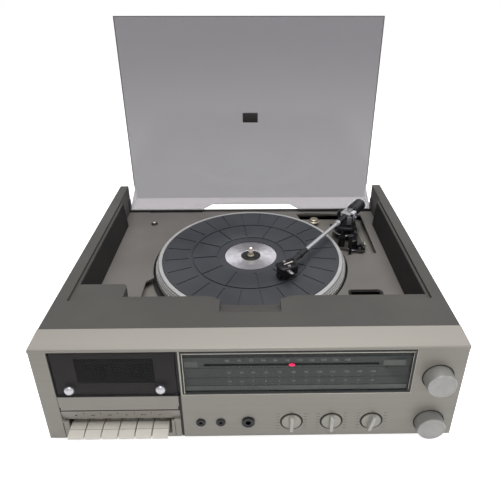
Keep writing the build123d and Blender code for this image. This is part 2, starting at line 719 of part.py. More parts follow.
with BuildPart() as cassette_fascia:
    # sloping label strip over the keys, and the sill under them, as one profile
    with BuildSketch(side_plane(block_left)):
        with BuildLine():
            Polyline((at(0), drop(fascia_top)), (at(0), drop(fascia_top + 1)),
                     (at(label_set_back), drop(label_bottom)), (at(fascia_depth), drop(label_bottom)),
                     (at(fascia_depth), drop(fascia_top + 3)), (at(plate_thick), drop(fascia_top)),
                     close=True)
        make_face()
        with BuildLine():
            Polyline((at(0), drop(key_sill)), (at(fascia_depth), drop(key_sill)),
                     (at(fascia_depth), foot_height + wall + part_gap),
                     (at(plate_thick - part_gap), foot_height + wall + part_gap),
                     (at(plate_thick - part_gap), foot_height + 0.5), (at(0), foot_height + 0.5),
                     close=True)
        make_face()
    extrude(amount=block_right - block_left)
    block(block_left, block_left + 1.6, 0, fascia_depth, foot_height + wall + part_gap,
          drop(label_bottom - 2))
    block(key_opening_right, block_right, 0, fascia_depth, foot_height + wall + part_gap,
          drop(label_bottom - 2))
save(cassette_fascia, "cassette_fascia")

key_pivot_z = drop(key_top + 7)
key_pivot_radius = 2.0
bay_back = 20.0
bay_wall = 2.0
bay_floor = drop(fascia_top - 0.2)
bay_roof = drop(opening_top - 0.4)
bay_x0 = -bay_left - bay_wall + 0.4
bay_x1 = -bay_right - 1.5
for index in range(key_count):
    key_x = -key_first + index * key_pitch
    with BuildPart() as key:
        # side view: long arm, bevelled crown, thin front lip
        with BuildSketch(side_plane(key_x - key_width / 2)):
            with BuildLine():
                Polyline((at(-key_proud), drop(key_top + 3.4)), (at(-key_proud + 0.5), drop(key_top + 2.6)),
                         (at(-3.5), drop(key_top + 0.2)), (at(7.5), drop(key_top)),
                         (at(10), drop(key_top + 1.5)), (at(key_swing_depth - 4), drop(key_top + 4)),
                         (at(key_swing_depth + 4), drop(key_top + 4)),
                         (at(key_swing_depth + 4), drop(key_top + 10)),
                         (at(12), drop(key_top + 6.2)), (at(-key_proud + 1), drop(key_top + 6.2)),
                         close=True)
            make_face()
        extrude(amount=key_width)
        block(key_x - key_width, key_x + key_width, 12, key_swing_depth + 5, drop(key_top + 12),
              drop(key_top - 2), Mode.SUBTRACT)
        with BuildSketch(side_plane(key_x - 4)):
            with BuildLine():
                Polyline((at(11.5), drop(key_top + 1.6)), (at(key_swing_depth), drop(key_top + 3)),
                         (at(key_swing_depth), drop(key_top + 11)), (at(11.5), drop(key_top + 6.2)),
                         close=True)
            make_face()
        extrude(amount=8)
        crossways(key_x - 4, key_x + 4, key_swing_depth, key_pivot_z, 4.5)
        crossways(key_x - 5, key_x + 5, key_swing_depth, key_pivot_z,
                  key_pivot_radius + run_gap, Mode.SUBTRACT)
    save(key, f"cassette_key_{index + 1}")

key_last = -key_first + (key_count - 1) * key_pitch
with BuildPart() as cassette_bay:
    # open-fronted well for the cassette, with its floor, roof and back
    with BuildSketch(facing_plane(bay_back)):
        with Locations(((bay_x0 + bay_x1) / 2, (bay_floor + bay_roof) / 2)):
            Rectangle(bay_x1 - bay_x0, bay_roof - bay_floor)
    extrude(amount=bay_back - plate_thick - 0.2)
    with BuildSketch(facing_plane(bay_back - bay_wall)):
        with Locations(((bay_x0 + bay_x1) / 2, (bay_floor + bay_roof) / 2)):
            Rectangle(bay_x1 - bay_x0 - 2 * bay_wall, bay_roof - bay_floor - 2 * bay_wall)
    extrude(amount=bay_back, mode=Mode.SUBTRACT)
    # spindle and capstan holes in the back wall
    for side in (-1, 1):
        through(bay_mid + side * reel_spacing / 2, drop(reel_drop), bay_back - bay_wall - 1,
                bay_back + 1, reel_shaft_radius + run_gap, Mode.SUBTRACT)
    # clear the floor's front edge for the swinging door
    block(bay_x0 + bay_wall, bay_x1 - bay_wall, 2, door_thick + 3.5, bay_floor - 1,
          bay_floor + bay_wall + 1, Mode.SUBTRACT)
    # ears in front of the side walls that hold the door's pins
    for x0, x1, tail in ((block_left - 0.1, block_left - 0.1 + cheek, bay_x0),
                         (block_right - cheek, block_right, bay_x1)):
        block(x0, x1, 0.4, plate_thick + 2, bay_floor, cheek_top)
        near, far = sorted(((x0 + x1) / 2, tail))
        block(near, far, plate_thick + 0.2, plate_thick + 2, bay_floor, cheek_top)
    crossways(block_left - 0.2, block_right + 0.1, door_pivot_depth, door_pivot_z,
              door_pin_radius + run_gap, Mode.SUBTRACT)
    # key rack hung below the well: two ears and the pivot rod
    for x in (-key_first - key_pitch / 2 - 1.5, key_last + key_pitch / 2 + 1.5):
        with BuildSketch(side_plane(x - 1)):
            with BuildLine():
                Polyline((at(fascia_depth + part_gap), bay_floor + 1), (at(bay_back), bay_floor + 1),
                         (at(key_swing_depth + 6), key_pivot_z + 6),
                         (at(key_swing_depth + 6), key_pivot_z - 6),
                         (at(key_swing_depth - 6), key_pivot_z - 6), close=True)
            make_face()
        extrude(amount=2)
    crossways(-key_first - key_pitch / 2 - 2, key_last + key_pitch / 2 + 2, key_swing_depth,
              key_pivot_z, key_pivot_radius)
save(cassette_bay, "cassette_bay")

# tape heads, pinch roller and capstan on one carrier bar along the bottom of the well
carrier_top = drop(door_bottom - 6.2)
with BuildPart() as tape_heads:
    block(bay_mid - 38, bay_mid + 38, bay_back - bay_wall - 12, bay_back - bay_wall,
          bay_floor + bay_wall, carrier_top - 1)
    block(bay_mid - 6, bay_mid + 6, bay_back - bay_wall - 12, bay_back - bay_wall - 2,
          carrier_top - 2, carrier_top + 3.4)
    block(bay_mid - 26, bay_mid - 20, bay_back - bay_wall - 12, bay_back - bay_wall - 3,
          carrier_top - 2, carrier_top + 2.8)
    upright(bay_mid + 26, bay_back - bay_wall - 6, carrier_top - 2, carrier_top + 3.6, 4.5)
save(tape_heads, "tape_heads")

strip_top = window_bottom + 0.2
rail_thick = 2.0
rail_reach = 12.5
rail_top = drop(25.0)
rail_foot = drop(door_bottom - 8.7)
cassette_left = bay_mid - cassette_width / 2
cassette_right = bay_mid + cassette_width / 2
with BuildPart() as cassette_door:
    with BuildSketch(facing_plane(door_thick)):
        with Locations(((window_left + window_right) / 2, drop((strip_top + door_bottom) / 2))):
            Rectangle(window_right - window_left, door_bottom - strip_top)
    extrude(amount=door_thick)
    rounded = cassette_door.edges().filter_by(Axis.X).group_by(Axis.Z)[0]
    fillet(rounded, radius=0.9)
    for x0, x1 in ((window_left - 1, block_left - 0.1 + cheek + 0.2),
                   (block_right - cheek - 0.2, window_right + 1)):
        block(x0, x1, -1, door_thick + 1, drop(door_bottom + 1), cheek_top + 0.8, Mode.SUBTRACT)
    # rails behind the window that hold the cassette's ends, joined under it
    for x0, x1 in ((cassette_left - rail_thick - 0.5, cassette_left - 0.5),
                   (cassette_right + 0.5, cassette_right + rail_thick + 0.5)):
        with BuildSketch(side_plane(x0)):
            with BuildLine():
                Polyline((at(door_thick), rail_foot + 4.5), (at(door_thick), rail_top),
                         (at(door_thick + 7), rail_top), (at(door_thick + rail_reach), rail_top - 12),
                         (at(door_thick + rail_reach), rail_foot), (at(door_thick + 3), rail_foot),
                         close=True)
            make_face()
        extrude(amount=x1 - x0)
    for x0, x1 in ((cassette_left - 1.5, cassette_left + 14), (cassette_right - 14, cassette_right + 1.5)):
        block(x0, x1, door_thick - 0.5, door_thick + rail_reach, rail_foot, rail_foot + 1.6)
    # pins that turn in the ears of the well
    crossways(block_left, block_left + cheek + 3, door_pivot_depth, door_pivot_z, door_pin_radius)
    crossways(block_right - cheek - 3, block_right - 0.1, door_pivot_depth, door_pivot_z,
              door_pin_radius)
save(cassette_door, "cassette_door")

stud_x = (17.2 - bay_left, -bay_right - 21.9)
stud_drop = window_bottom - 11.6
stud_shank_radius = 1.6
with BuildPart() as door_window:
    with BuildSketch(facing_plane(door_thick)):
        with Locations(((window_left + window_right) / 2, drop((door_top + window_bottom) / 2))):
            Rectangle(window_right - window_left, window_bottom - door_top)
        with Locations(*[(x, drop(stud_drop)) for x in stud_x]):
            Circle(stud_shank_radius, mode=Mode.SUBTRACT)
    extrude(amount=door_thick)
save(door_window, "door_window")

with BuildPart() as door_studs:
    for x in stud_x:
        through(x, drop(stud_drop), -5.0, 0, 5.3)
        through(x, drop(stud_drop), 0, door_thick, stud_shank_radius)
    chamfer(door_studs.faces().filter_by(Axis.Y).group_by(Axis.Y)[0].edges(), length=0.8)
save(door_studs, "door_studs")

for side, name in ((-1, "reel_spindle_left"), (1, "reel_spindle_right")):
    reel_x = bay_mid + side * reel_spacing / 2
    with BuildPart() as reel:
        through(reel_x, drop(reel_drop), bay_back - bay_wall - spindle_reach,
                bay_back - bay_wall - 1, 3.4)
        chamfer(reel.faces().sort_by(Axis.Y)[0].edges(), length=1.2)
        through(reel_x, drop(reel_drop), bay_back - bay_wall - 2.4,
                bay_back - bay_wall - part_gap, 8.5)
        through(reel_x, drop(reel_drop), bay_back - bay_wall - 1, bay_back + 3, reel_shaft_radius)
        # three drive splines
        with BuildSketch(facing_plane(bay_back - bay_wall - 1)):
            with Locations((reel_x, drop(reel_drop))):
                with PolarLocations(4.0, 3, start_angle=90):
                    Rectangle(2.6, 1.4)
        extrude(amount=spindle_reach - 3)
    save(reel, name)

# ------------------------------------------------------------- record deck
motor_angle = 135.0         # where the motor sits, round from the right
motor_offset = 112.0
pulley_radius = 6.0
drive_radius = 95.0
belt_thick = 0.7
belt_height = 5.0
belt_z = deck_z - 4.5
motor_radius = 21.0
motor_length = 32.0
motor_x = platter_x + motor_offset * cos(radians(motor_angle))
motor_depth = platter_depth + motor_offset * sin(radians(motor_angle))
motor_shaft_radius = 1.5
motor_boss_radius = 5.0
bearing_radius = 9.0
bearing_flange = 20.0
bearing_bottom = chassis_z - 34.0
bearing_top = deck_z + 2.0
plate_under = chassis_z - chassis_thick
rest_x = arm_x - 3.2
rest_depth = arm_depth - 61.9
arm_base_radius = 20.0
arm_bush_radius = 4.0

with BuildPart() as turntable_chassis:
    with BuildSketch(Plane.XY.offset(plate_under)):
        with BuildLine():
            left, right = 11 - floor_x, floor_x - 9
            Polyline((left, at(shelf_depth + 8)), (shelf_right + 59, at(shelf_depth + 8)),
                     (shelf_right + 69, at(floor_start + 7)), (pocket_left - 12, at(floor_start + 7)),
                     (pocket_left - 12, at(pocket_back + 8)), (right, at(pocket_back + 8)),
                     (right, at(deck_depth - 10)), (left, at(deck_depth - 10)), close=True)
        make_face()
        fillet(vertices(), radius=6)
        with Locations((platter_x, at(platter_depth))):
            Circle(bearing_radius + 0.2, mode=Mode.SUBTRACT)
        with Locations((motor_x, at(motor_depth))):
            Circle(motor_boss_radius + 0.3, mode=Mode.SUBTRACT)
        with Locations((arm_x, at(arm_depth))):
            Circle(9, mode=Mode.SUBTRACT)
    extrude(amount=chassis_thick)
    # pressed ribs that stiffen the plate
    with BuildSketch(Plane.XY.offset(plate_under - 3)):
        for x in (-60, 60):
            with Locations((x, at(platter_depth - 95))):
                SlotOverall(70, 7)
    extrude(amount=3 + chassis_thick / 2)
save(turntable_chassis, "turntable_chassis")

with BuildPart() as suspension_mounts:
    for x, depth in mount_places:
        low = plate_under - mount_height
        with BuildSketch(Plane(origin=(x, at(depth), low), x_dir=(1, 0, 0), z_dir=(0, -1, 0))):
            with BuildLine():
                Polyline((0, 0), (6, 0), (7.5, 2.5), (5, 5), (7.5, 8), (5, 11), (7.5, 14), (6, 18),
                         (0, 18), close=True)
            make_face()
        revolve(axis=Axis((x, at(depth), low), (0, 0, 1)))
save(suspension_mounts, "suspension_mounts")

with BuildPart() as transit_screws:
    upright(*deck_screw, deck_z, deck_z + 2.2, screw_head_radius)
    upright(*deck_screw, chassis_z, deck_z, screw_shank_radius)
    upright(*chassis_screw, chassis_z, chassis_z + 4, 3.4)
    upright(*chassis_screw, chassis_z + 4, chassis_z + 6.2, screw_head_radius)
    chamfer(transit_screws.faces().filter_by(Axis.Z).group_by(Axis.Z)[-1].edges(), length=0.5)
    for (x, depth), top in ((deck_screw, deck_z + 2.2), (chassis_screw, chassis_z + 6.2)):
        block(x - 6, x + 6, depth - 0.6, depth + 0.6, top - 1, top + 1, Mode.SUBTRACT)
save(transit_screws, "transit_screws")

with BuildPart() as platter_bearing:
    upright(platter_x, platter_depth, chassis_z, chassis_z + 3, bearing_flange)
    upright(platter_x, platter_depth, bearing_bottom, bearing_top, bearing_radius)
    upright(platter_x, platter_depth, bearing_bottom + 2, bearing_top + 1,
            spindle_shaft_radius + run_gap, Mode.SUBTRACT)
save(platter_bearing, "platter_bearing")

with BuildPart() as platter_motor:
    upright(motor_x, motor_depth, plate_under - motor_length, plate_under, motor_radius)
    upright(motor_x, motor_depth, plate_under - 1, chassis_z + 3, motor_boss_radius)
    fillet(platter_motor.faces().sort_by(Axis.Z)[0].edges(), radius=3)
    upright(motor_x, motor_depth, plate_under - motor_length + 4, chassis_z + 4,
            motor_shaft_radius + run_gap, Mode.SUBTRACT)
save(platter_motor, "platter_motor")

with BuildPart() as motor_pulley:
    upright(motor_x, motor_depth, plate_under - motor_length + 4 + part_gap, belt_z,
            motor_shaft_radius)
    upright(motor_x, motor_depth, belt_z - belt_height / 2 - 0.5, belt_z + belt_height / 2 + 0.5,
            pulley_radius)
    for end in (-1, 1):
        upright(motor_x, motor_depth, belt_z + end * (belt_height / 2 + 1.1) - 0.6,
                belt_z + end * (belt_height / 2 + 1.1) + 0.6, pulley_radius + 2)
save(motor_pulley, "motor_pulley")

with BuildPart() as drive_belt:
    with BuildSketch(Plane.XY.offset(belt_z - belt_height / 2)) as loop:
        with BuildSketch(mode=Mode.PRIVATE) as outer:
            with Locations((platter_x, at(platter_depth))):
                Circle(drive_radius + part_gap + belt_thick)
            with Locations((motor_x, at(motor_depth))):
                Circle(pulley_radius + part_gap + belt_thick)
            make_hull()
        with BuildSketch(mode=Mode.PRIVATE) as inner:
            with Locations((platter_x, at(platter_depth))):
                Circle(drive_radius + part_gap)
            with Locations((motor_x, at(motor_depth))):
                Circle(pulley_radius + part_gap)
            make_hull()
        add(outer.sketch)
        add(inner.sketch, mode=Mode.SUBTRACT)
    extrude(amount=belt_height)
save(drive_belt, "drive_belt")

platter_top = mat_z - mat_thick
rim_top_radius = 141.0
with BuildPart() as platter:
    # section of the casting: hub, web, drive ring underneath and stepped rim
    with BuildSketch(Plane(origin=(platter_x, at(platter_depth), 0), x_dir=(1, 0, 0),
                           z_dir=(0, -1, 0))):
        with BuildLine():
            Polyline((spindle_shaft_radius, platter_top), (mat_radius + 0.4, platter_top),
                     (mat_radius + 0.4, mat_z - 0.6), (rim_top_radius - 0.6, mat_z - 0.6),
                     (rim_top_radius, mat_z - 1.2), (rim_top_radius + 0.6, mat_z - 2.2),
                     (platter_radius, deck_z - 1), (platter_radius, deck_z - 5),
                     (platter_radius - 3, deck_z - 5), (platter_radius - 3, deck_z - 1),
                     (rim_top_radius - 3, platter_top - 4), (rim_top_radius - 8, platter_top - 3),
                     (drive_radius, platter_top - 3), (drive_radius, belt_z - belt_height / 2 - 1),
                     (drive_radius - 3, belt_z - belt_height / 2 - 1),
                     (drive_radius - 3, platter_top - 3), (14, platter_top - 3),
                     (14, bearing_top + part_gap), (spindle_shaft_radius, bearing_top + part_gap),
                     close=True)
        make_face()
    revolve(axis=Axis((platter_x, at(platter_depth), 0), (0, 0, 1)))
save(platter, "platter")

groove_turn = 97.5
disc_radius = 40.0
with BuildPart() as platter_mat:
    with BuildSketch(Plane.XY.offset(platter_top)):
        with Locations((platter_x, at(platter_depth))):
            Circle(mat_radius)
            Circle(disc_radius + nut_gap, mode=Mode.SUBTRACT)
    extrude(amount=mat_thick)
    with BuildSketch(Plane.XY.offset(mat_z - 0.9)):
        with Locations((platter_x, at(platter_depth))):
            Circle(91 + 1.6)
            Circle(91 - 1.6, mode=Mode.SUBTRACT)
            # short grooves outside the ring, long ones inside it
            with PolarLocations((95 + 131) / 2, 24, start_angle=groove_turn):
                Rectangle(131 - 95, 1.6)
            with PolarLocations((52 + 88) / 2, 12, start_angle=groove_turn):
                Rectangle(88 - 52, 2.4)
    extrude(amount=1.2, mode=Mode.SUBTRACT)
save(platter_mat, "platter_mat")

with BuildPart() as label_disc:
    upright(platter_x, platter_depth, platter_top, mat_z + 0.4, disc_radius)
    chamfer(label_disc.faces().sort_by(Axis.Z)[-1].edges(), length=0.3)
    upright(platter_x, platter_depth, mat_z - label_recess, mat_z + 1, 15, Mode.SUBTRACT)
    upright(platter_x, platter_depth, platter_top - 1, mat_z, spindle_shaft_radius, Mode.SUBTRACT)
save(label_disc, "label_disc")

with BuildPart() as spindle:
    upright(platter_x, platter_depth, bearing_bottom + 2 + part_gap, mat_z - label_recess,
            spindle_shaft_radius)
    upright(platter_x, platter_depth, mat_z - label_recess, mat_z + spindle_proud,
            spindle_radius)
    fillet(spindle.faces().sort_by(Axis.Z)[-1].edges(), radius=spindle_radius - 0.4)
save(spindle, "spindle")

# ------------------------------------------------------------- tonearm
arm_z = deck_z + arm_rise
arm_way = radians(arm_azimuth)
arm_plane = Plane(origin=(arm_x, at(arm_depth), arm_z),
                  x_dir=(-sin(arm_way), -cos(arm_way), 0), z_dir=(0, 0, 1))
head_at = 190.0             # pivot to the middle of the headshell
head_way = radians(arm_azimuth + head_offset)
head_plane = Plane(origin=arm_plane.from_local_coords((head_at, 0, 0)),
                   x_dir=(-sin(head_way), -cos(head_way), 0), z_dir=(0, 0, 1))
collar_radius = 4.5
collar_end = 40.0
tube_radius = 3.0
tube_end = 137.0
tube_grip = 13.0
neck_radius = 4.0
stub_radius = 4.0
stub_end = -53.0
yoke_radius = 17.0
yoke_top = chassis_z + 25.0
yoke_post_out = 12.0
yoke_post_thick = 3.5
pivot_pin_radius = 1.2
block_half = 9.0
lift_radius = 38.0          # lift bar's distance from the arm's pivot
lift_azimuth = radians(20.0)
lift_x = arm_x - lift_radius * sin(lift_azimuth)
lift_depth = arm_depth - lift_radius * cos(lift_azimuth)
lift_stem_radius = 2.0
lever_x = arm_x + 16.3
lever_depth = arm_depth - 46.4
lever_z = chassis_z + 11.0
lever_pin_radius = 1.5
plate_low = -0.5            # headshell plate, measured from the tube's axis
plate_high = 2.5
screw_pitch = 12.7


def slab(plane, a0, a1, b0, b1, c0, c1, mode=Mode.ADD):
    """Block laid out in a turned plane's own three directions."""
    with Locations(plane.location * Pos((a0 + a1) / 2, (b0 + b1) / 2, (c0 + c1) / 2)):
        Box(a1 - a0, b1 - b0, c1 - c0, mode=mode)


def rod(plane, a0, a1, radius, mode=Mode.ADD):
    """Round bar along a turned plane's x."""
    with Locations(plane.location * Pos((a0 + a1) / 2, 0, 0)):
        Cylinder(radius, a1 - a0, rotation=(0, 90, 0), mode=mode)


def cross_pin(plane, b0, b1, radius, mode=Mode.ADD):
    """Round pin or hole along a turned plane's y."""
    with Locations(plane.location * Pos(0, (b0 + b1) / 2, 0)):
        Cylinder(radius, b1 - b0, rotation=(90, 0, 0), mode=mode)


with BuildPart() as arm_base:
    with BuildSketch(Plane.XY.offset(chassis_z)):
        with Locations((arm_x, at(arm_depth))):
            Circle(arm_base_radius + 3)
        with Locations((lift_x, at(lift_depth)), (lever_x, at(lever_depth))):
            Circle(9)
        make_hull()
    extrude(amount=4)
    upright(arm_x, arm_depth, chassis_z + 3, chassis_z + 14, arm_base_radius)
    upright(arm_x, arm_depth, chassis_z + 13, chassis_z + 20, 7)
    upright(lift_x, lift_depth, chassis_z + 3, chassis_z + 22, 5.5)
    for side in (-1, 1):
        ear = lever_x + side * 4.5
        block(ear - 1.2, ear + 1.2, lever_depth - 4, lever_depth + 4, chassis_z + 3, lever_z)
        crossways(ear - 1.2, ear + 1.2, lever_depth, lever_z, 4)
        crossways(ear - 2, ear + 2, lever_depth, lever_z, lever_pin_radius + run_gap,
                  Mode.SUBTRACT)
    upright(arm_x, arm_depth, chassis_z, chassis_z + 21, arm_bush_radius + run_gap, Mode.SUBTRACT)
    upright(lift_x, lift_depth, chassis_z, chassis_z + 23, lift_stem_radius + run_gap,
            Mode.SUBTRACT)
save(arm_base, "arm_base")

with BuildPart() as arm_yoke:
    upright(arm_x, arm_depth, chassis_z + 1, yoke_top - 3, arm_bush_radius)
    upright(arm_x, arm_depth, yoke_top - 3, yoke_top, yoke_radius)
    for side in (-1, 1):
        inner, outer = sorted((side * (yoke_post_out - yoke_post_thick / 2),
                               side * (yoke_post_out + yoke_post_thick / 2)))
        slab(arm_plane, -6, 6, inner, outer, yoke_top - 0.5 - arm_z, 6.5)
        inner, outer = sorted((side * (block_half - 2), side * yoke_post_out))
        cross_pin(arm_plane, inner, outer, pivot_pin_radius)
save(arm_yoke, "arm_yoke")

with BuildPart() as arm_tube:
    slab(arm_plane, -10, 8, -block_half, block_half, -5, 5.5)
    fillet(arm_tube.edges().filter_by(Axis.Z), radius=2)
    slab(arm_plane, -9, -1, -6, 6, 5, 7.5)
    rod(arm_plane, 7, collar_end, collar_radius)
    rod(arm_plane, collar_end - 1, tube_end + tube_grip, tube_radius)
    rod(arm_plane, stub_end, -9, stub_radius)
    for side in (-1, 1):
        inner, outer = sorted((side * (block_half - 2.5), side * (block_half + 1)))
        cross_pin(arm_plane, inner, outer, pivot_pin_radius + run_gap, Mode.SUBTRACT)
save(arm_tube, "arm_tube")

with BuildPart() as counterweight:
    rod(arm_plane, -52, -25, 10.5)
    rod(arm_plane, -25, -22, 8.5)
    chamfer(counterweight.edges().filter_by(GeomType.CIRCLE).group_by(SortBy.RADIUS)[-1],
            length=0.8)
    rod(arm_plane, -54, -20, stub_radius + run_gap, Mode.SUBTRACT)
save(counterweight, "counterweight")

with BuildPart() as headshell:
    # flat plate faired into the neck
    with BuildSketch(Plane.XY.offset(arm_z + plate_low)):
        with Locations(head_plane.location * Pos(0, 0, 0)):
            Rectangle(24, 22)
        with Locations(Vector(arm_plane.from_local_coords((head_at - 18, 0, 0)))):
            Circle(neck_radius)
        make_hull()
    extrude(amount=plate_high - plate_low)
    rod(arm_plane, tube_end, head_at - 16, neck_radius)
    slab(head_plane, -12, 6, -1.3, 1.3, plate_high - 0.5, plate_high + 1.5)
    slab(head_plane, 4, 9, 10, 22, plate_low + 1.2, plate_low + 2.2)
    for side in (-1, 1):
        with Locations(head_plane.location * Pos(0, side * screw_pitch / 2, 1)):
            Cylinder(1.3, 6, mode=Mode.SUBTRACT)
    rod(arm_plane, tube_end - 1, tube_end + tube_grip + part_gap, tube_radius + run_gap,
        Mode.SUBTRACT)
save(headshell, "headshell")

stylus_tip = mat_z + 0.5 - arm_z
with BuildPart() as cartridge:
    slab(head_plane, -14, 12, -8.5, 8.5, -12, plate_low)
    slab(head_plane, 2, 15, -5, 5, -15, -10)
    fillet(cartridge.edges().filter_by(Axis.Z), radius=1)
    for side in (-1, 1):
        with Locations(head_plane.location * Pos(0, side * screw_pitch / 2, 1)):
            Cylinder(1.1, 4)
        with Locations(head_plane.location * Pos(0, side * screw_pitch / 2, plate_high + 0.8)):
            Cylinder(2.4, 1.6)
        for pin_z in (-4, -8):
            with Locations(head_plane.location * Pos(-15.5, side * 3, pin_z)):
                Cylinder(0.6, 4, rotation=(0, 90, 0))
    with Locations(head_plane.location * Pos(10, 0, (stylus_tip - 14) / 2)):
        Cone(0.3, 1.0, -14 - stylus_tip)
save(cartridge, "cartridge")

with BuildPart() as lift_bar:
    lift_top = arm_z - collar_radius - part_gap
    with BuildSketch(Plane.XY.offset(lift_top - 3)):
        SlotArc(CenterArc((arm_x, at(arm_depth)), lift_radius, 218, 52), height=5)
    extrude(amount=3)
    upright(lift_x, lift_depth, chassis_z + 4, lift_top - 1, lift_stem_radius)
save(lift_bar, "lift_bar")

with BuildPart() as cue_lever:
    crossways(lever_x - 5.5, lever_x + 5.5, lever_depth, lever_z, lever_pin_radius)
    crossways(lever_x - 3, lever_x + 3, lever_depth, lever_z, 3.5)
    with BuildSketch(side_plane(lever_x - 1.5)):
        with BuildLine():
            Polyline((at(lever_depth), lever_z + 3), (at(lever_depth), lever_z - 1),
                     (at(lever_depth - 24), lever_z + 7), (at(lever_depth - 27), lever_z + 7),
                     (at(lever_depth - 27), lever_z + 11), (at(lever_depth - 21), lever_z + 11),
                     close=True)
        make_face()
    extrude(amount=3)
save(cue_lever, "cue_lever")

with BuildPart() as arm_rest:
    upright(rest_x, rest_depth, chassis_z, chassis_z + 3, 8)
    upright(rest_x, rest_depth, chassis_z + 2, arm_z - 6, 6)
    # saddle: open towards the platter, high lip on the far side
    cradle_floor = arm_z - tube_radius - part_gap
    block(rest_x - 6, rest_x + 7, rest_depth - 4, rest_depth + 4, arm_z - 7, arm_z + 3.5)
    block(rest_x - 7, rest_x + 3.6, rest_depth - 5, rest_depth + 5, cradle_floor, arm_z + 4,
          Mode.SUBTRACT)
save(arm_rest, "arm_rest")

# ------------------------------------------------------------- lid, shown open
lid_half = seat_x - lid_gap
ear_radius = 6.0
ear_thick = 3.2
lid_heel = hinge_inset - part_gap           # pivot to the lid's back edge
lid_under = hinge_z - lid_heel
lid_height = hinge_depth - rim_depth - lid_gap + lid_heel
lid_wall_front = hinge_depth - ear_radius
cutout_edge = 90.5
cutout_inner = 73.0
cutout_deep = 22.0
ear_inner = lid_half - ear_thick
gusset_rise = 24.0
gusset_run = 45.0

with BuildPart() as lid:
    block(-lid_half, lid_half, lid_reach - lid_thick, lid_reach, lid_under, lid_under + lid_height)
    fillet(lid.edges().filter_by(Axis.Y).group_by(Axis.Z)[-1], radius=4)
    block(-lid_half, lid_half, lid_wall_front, lid_reach, lid_under, lid_under + lid_thick)
    with BuildSketch(Plane.XY.offset(lid_under - 1)):
        with BuildLine():
            Polyline((-cutout_edge, at(lid_wall_front)),
                     (-cutout_inner, at(lid_wall_front + cutout_deep)),
                     (cutout_inner, at(lid_wall_front + cutout_deep)),
                     (cutout_edge, at(lid_wall_front)), (cutout_edge, at(lid_wall_front - 1)),
                     (-cutout_edge, at(lid_wall_front - 1)), close=True)
        make_face()
    extrude(amount=lid_thick + 2, mode=Mode.SUBTRACT)
    for side in (-1, 1):
        near = min(side * ear_inner, side * lid_half)
        with BuildSketch(side_plane(near)):
            with BuildLine():
                Polyline((at(lid_reach - 1), lid_under), (at(lid_reach - 1), lid_under + gusset_rise),
                         (at(lid_reach - gusset_run), lid_under + lid_thick),
                         (at(lid_wall_front), lid_under + lid_thick),
                         (at(lid_wall_front), lid_under), close=True)
            make_face()
            with Locations((at(hinge_depth), hinge_z)):
                Circle(ear_radius)
        extrude(amount=lid_half - ear_inner)
        near, far = sorted((side * (ear_inner - 0.8), side * (lid_half + 8.5)))
        crossways(near, far, hinge_depth, hinge_z, hinge_pin_radius)
save(lid, "lid")

with BuildPart() as hinge_brackets:
    for side in (-1, 1):
        near, far = sorted((side * (lid_half + part_gap), side * pocket_x))
        block(near, far, deck_depth + part_gap, case_depth - 0.5, deck_z - 0.5, deck_z + 22)
        near, far = sorted((side * (pocket_x - 0.5), side * (pocket_x + 8)))
        crossways(near, far, hinge_depth, hinge_z, hinge_boss_radius - 0.05)
        near, far = sorted((side * lid_half, side * (pocket_x + 9)))
        crossways(near, far, hinge_depth, hinge_z, hinge_pin_radius + run_gap, Mode.SUBTRACT)
save(hinge_brackets, "hinge_brackets")

# ------------------------------------------------------------- electronics
with BuildPart() as circuit_board:
    block(board_left, board_right, board_front, board_back, board_z, board_z + board_thick)
    for x, depth in board_places:
        upright(x, depth, board_z - 1, board_z + 3, 1.6, Mode.SUBTRACT)
    upright(*mount_places[2], board_z - 1, board_z + 3, mount_radius + 2, Mode.SUBTRACT)
    board_top = board_z + board_thick
    # heat sink with fins, capacitors and screening cans
    sink_x = board_left + 60
    sink_depth = board_back - 38
    block(sink_x, sink_x + 90, sink_depth, sink_depth + 3, board_top - 0.5, board_top + 28)
    for fin in range(7):
        fin_x = sink_x + 3 + fin * 14
        block(fin_x - 1, fin_x + 1, sink_depth + 2.5, sink_depth + 15, board_top - 0.5,
              board_top + 28)
    for x, depth, radius, height in ((180, 180, 11, 28), (208, 180, 11, 28), (20, 155, 6, 16),
                                     (40, 115, 6, 16), (100, 95, 4, 11), (130, 105, 4, 11)):
        upright(board_left + x, board_front + depth, board_top - 0.5, board_top + height, radius)
    for x, depth in ((190, 85), (205, 85), (220, 85), (190, 110)):
        x, depth = board_left + x, board_front + depth
        block(x - 5, x + 5, depth - 5, depth + 5, board_top - 0.5, board_top + 12)
save(circuit_board, "circuit_board")

transformer_x = 80.0 - half_width
transformer_depth = 245.0
with BuildPart() as power_transformer:
    block(transformer_x - 35, transformer_x + 35, transformer_depth - 14, transformer_depth + 14,
          pan_top, pan_top + 52)
    block(transformer_x - 19, transformer_x + 19, transformer_depth - 27, transformer_depth + 27,
          pan_top + 8, pan_top + 44)
    for side in (-1, 1):
        foot = transformer_x + side * 38
        block(foot - 5, foot + 5, transformer_depth - 14, transformer_depth + 14,
              pan_top, pan_top + 2)
save(power_transformer, "power_transformer")
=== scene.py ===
"""Stereo music centre: finishes, printed markings and fine parts over the CAD frame."""
from math import cos, pi, radians, sin

import bpy
from mathutils import Matrix, Vector


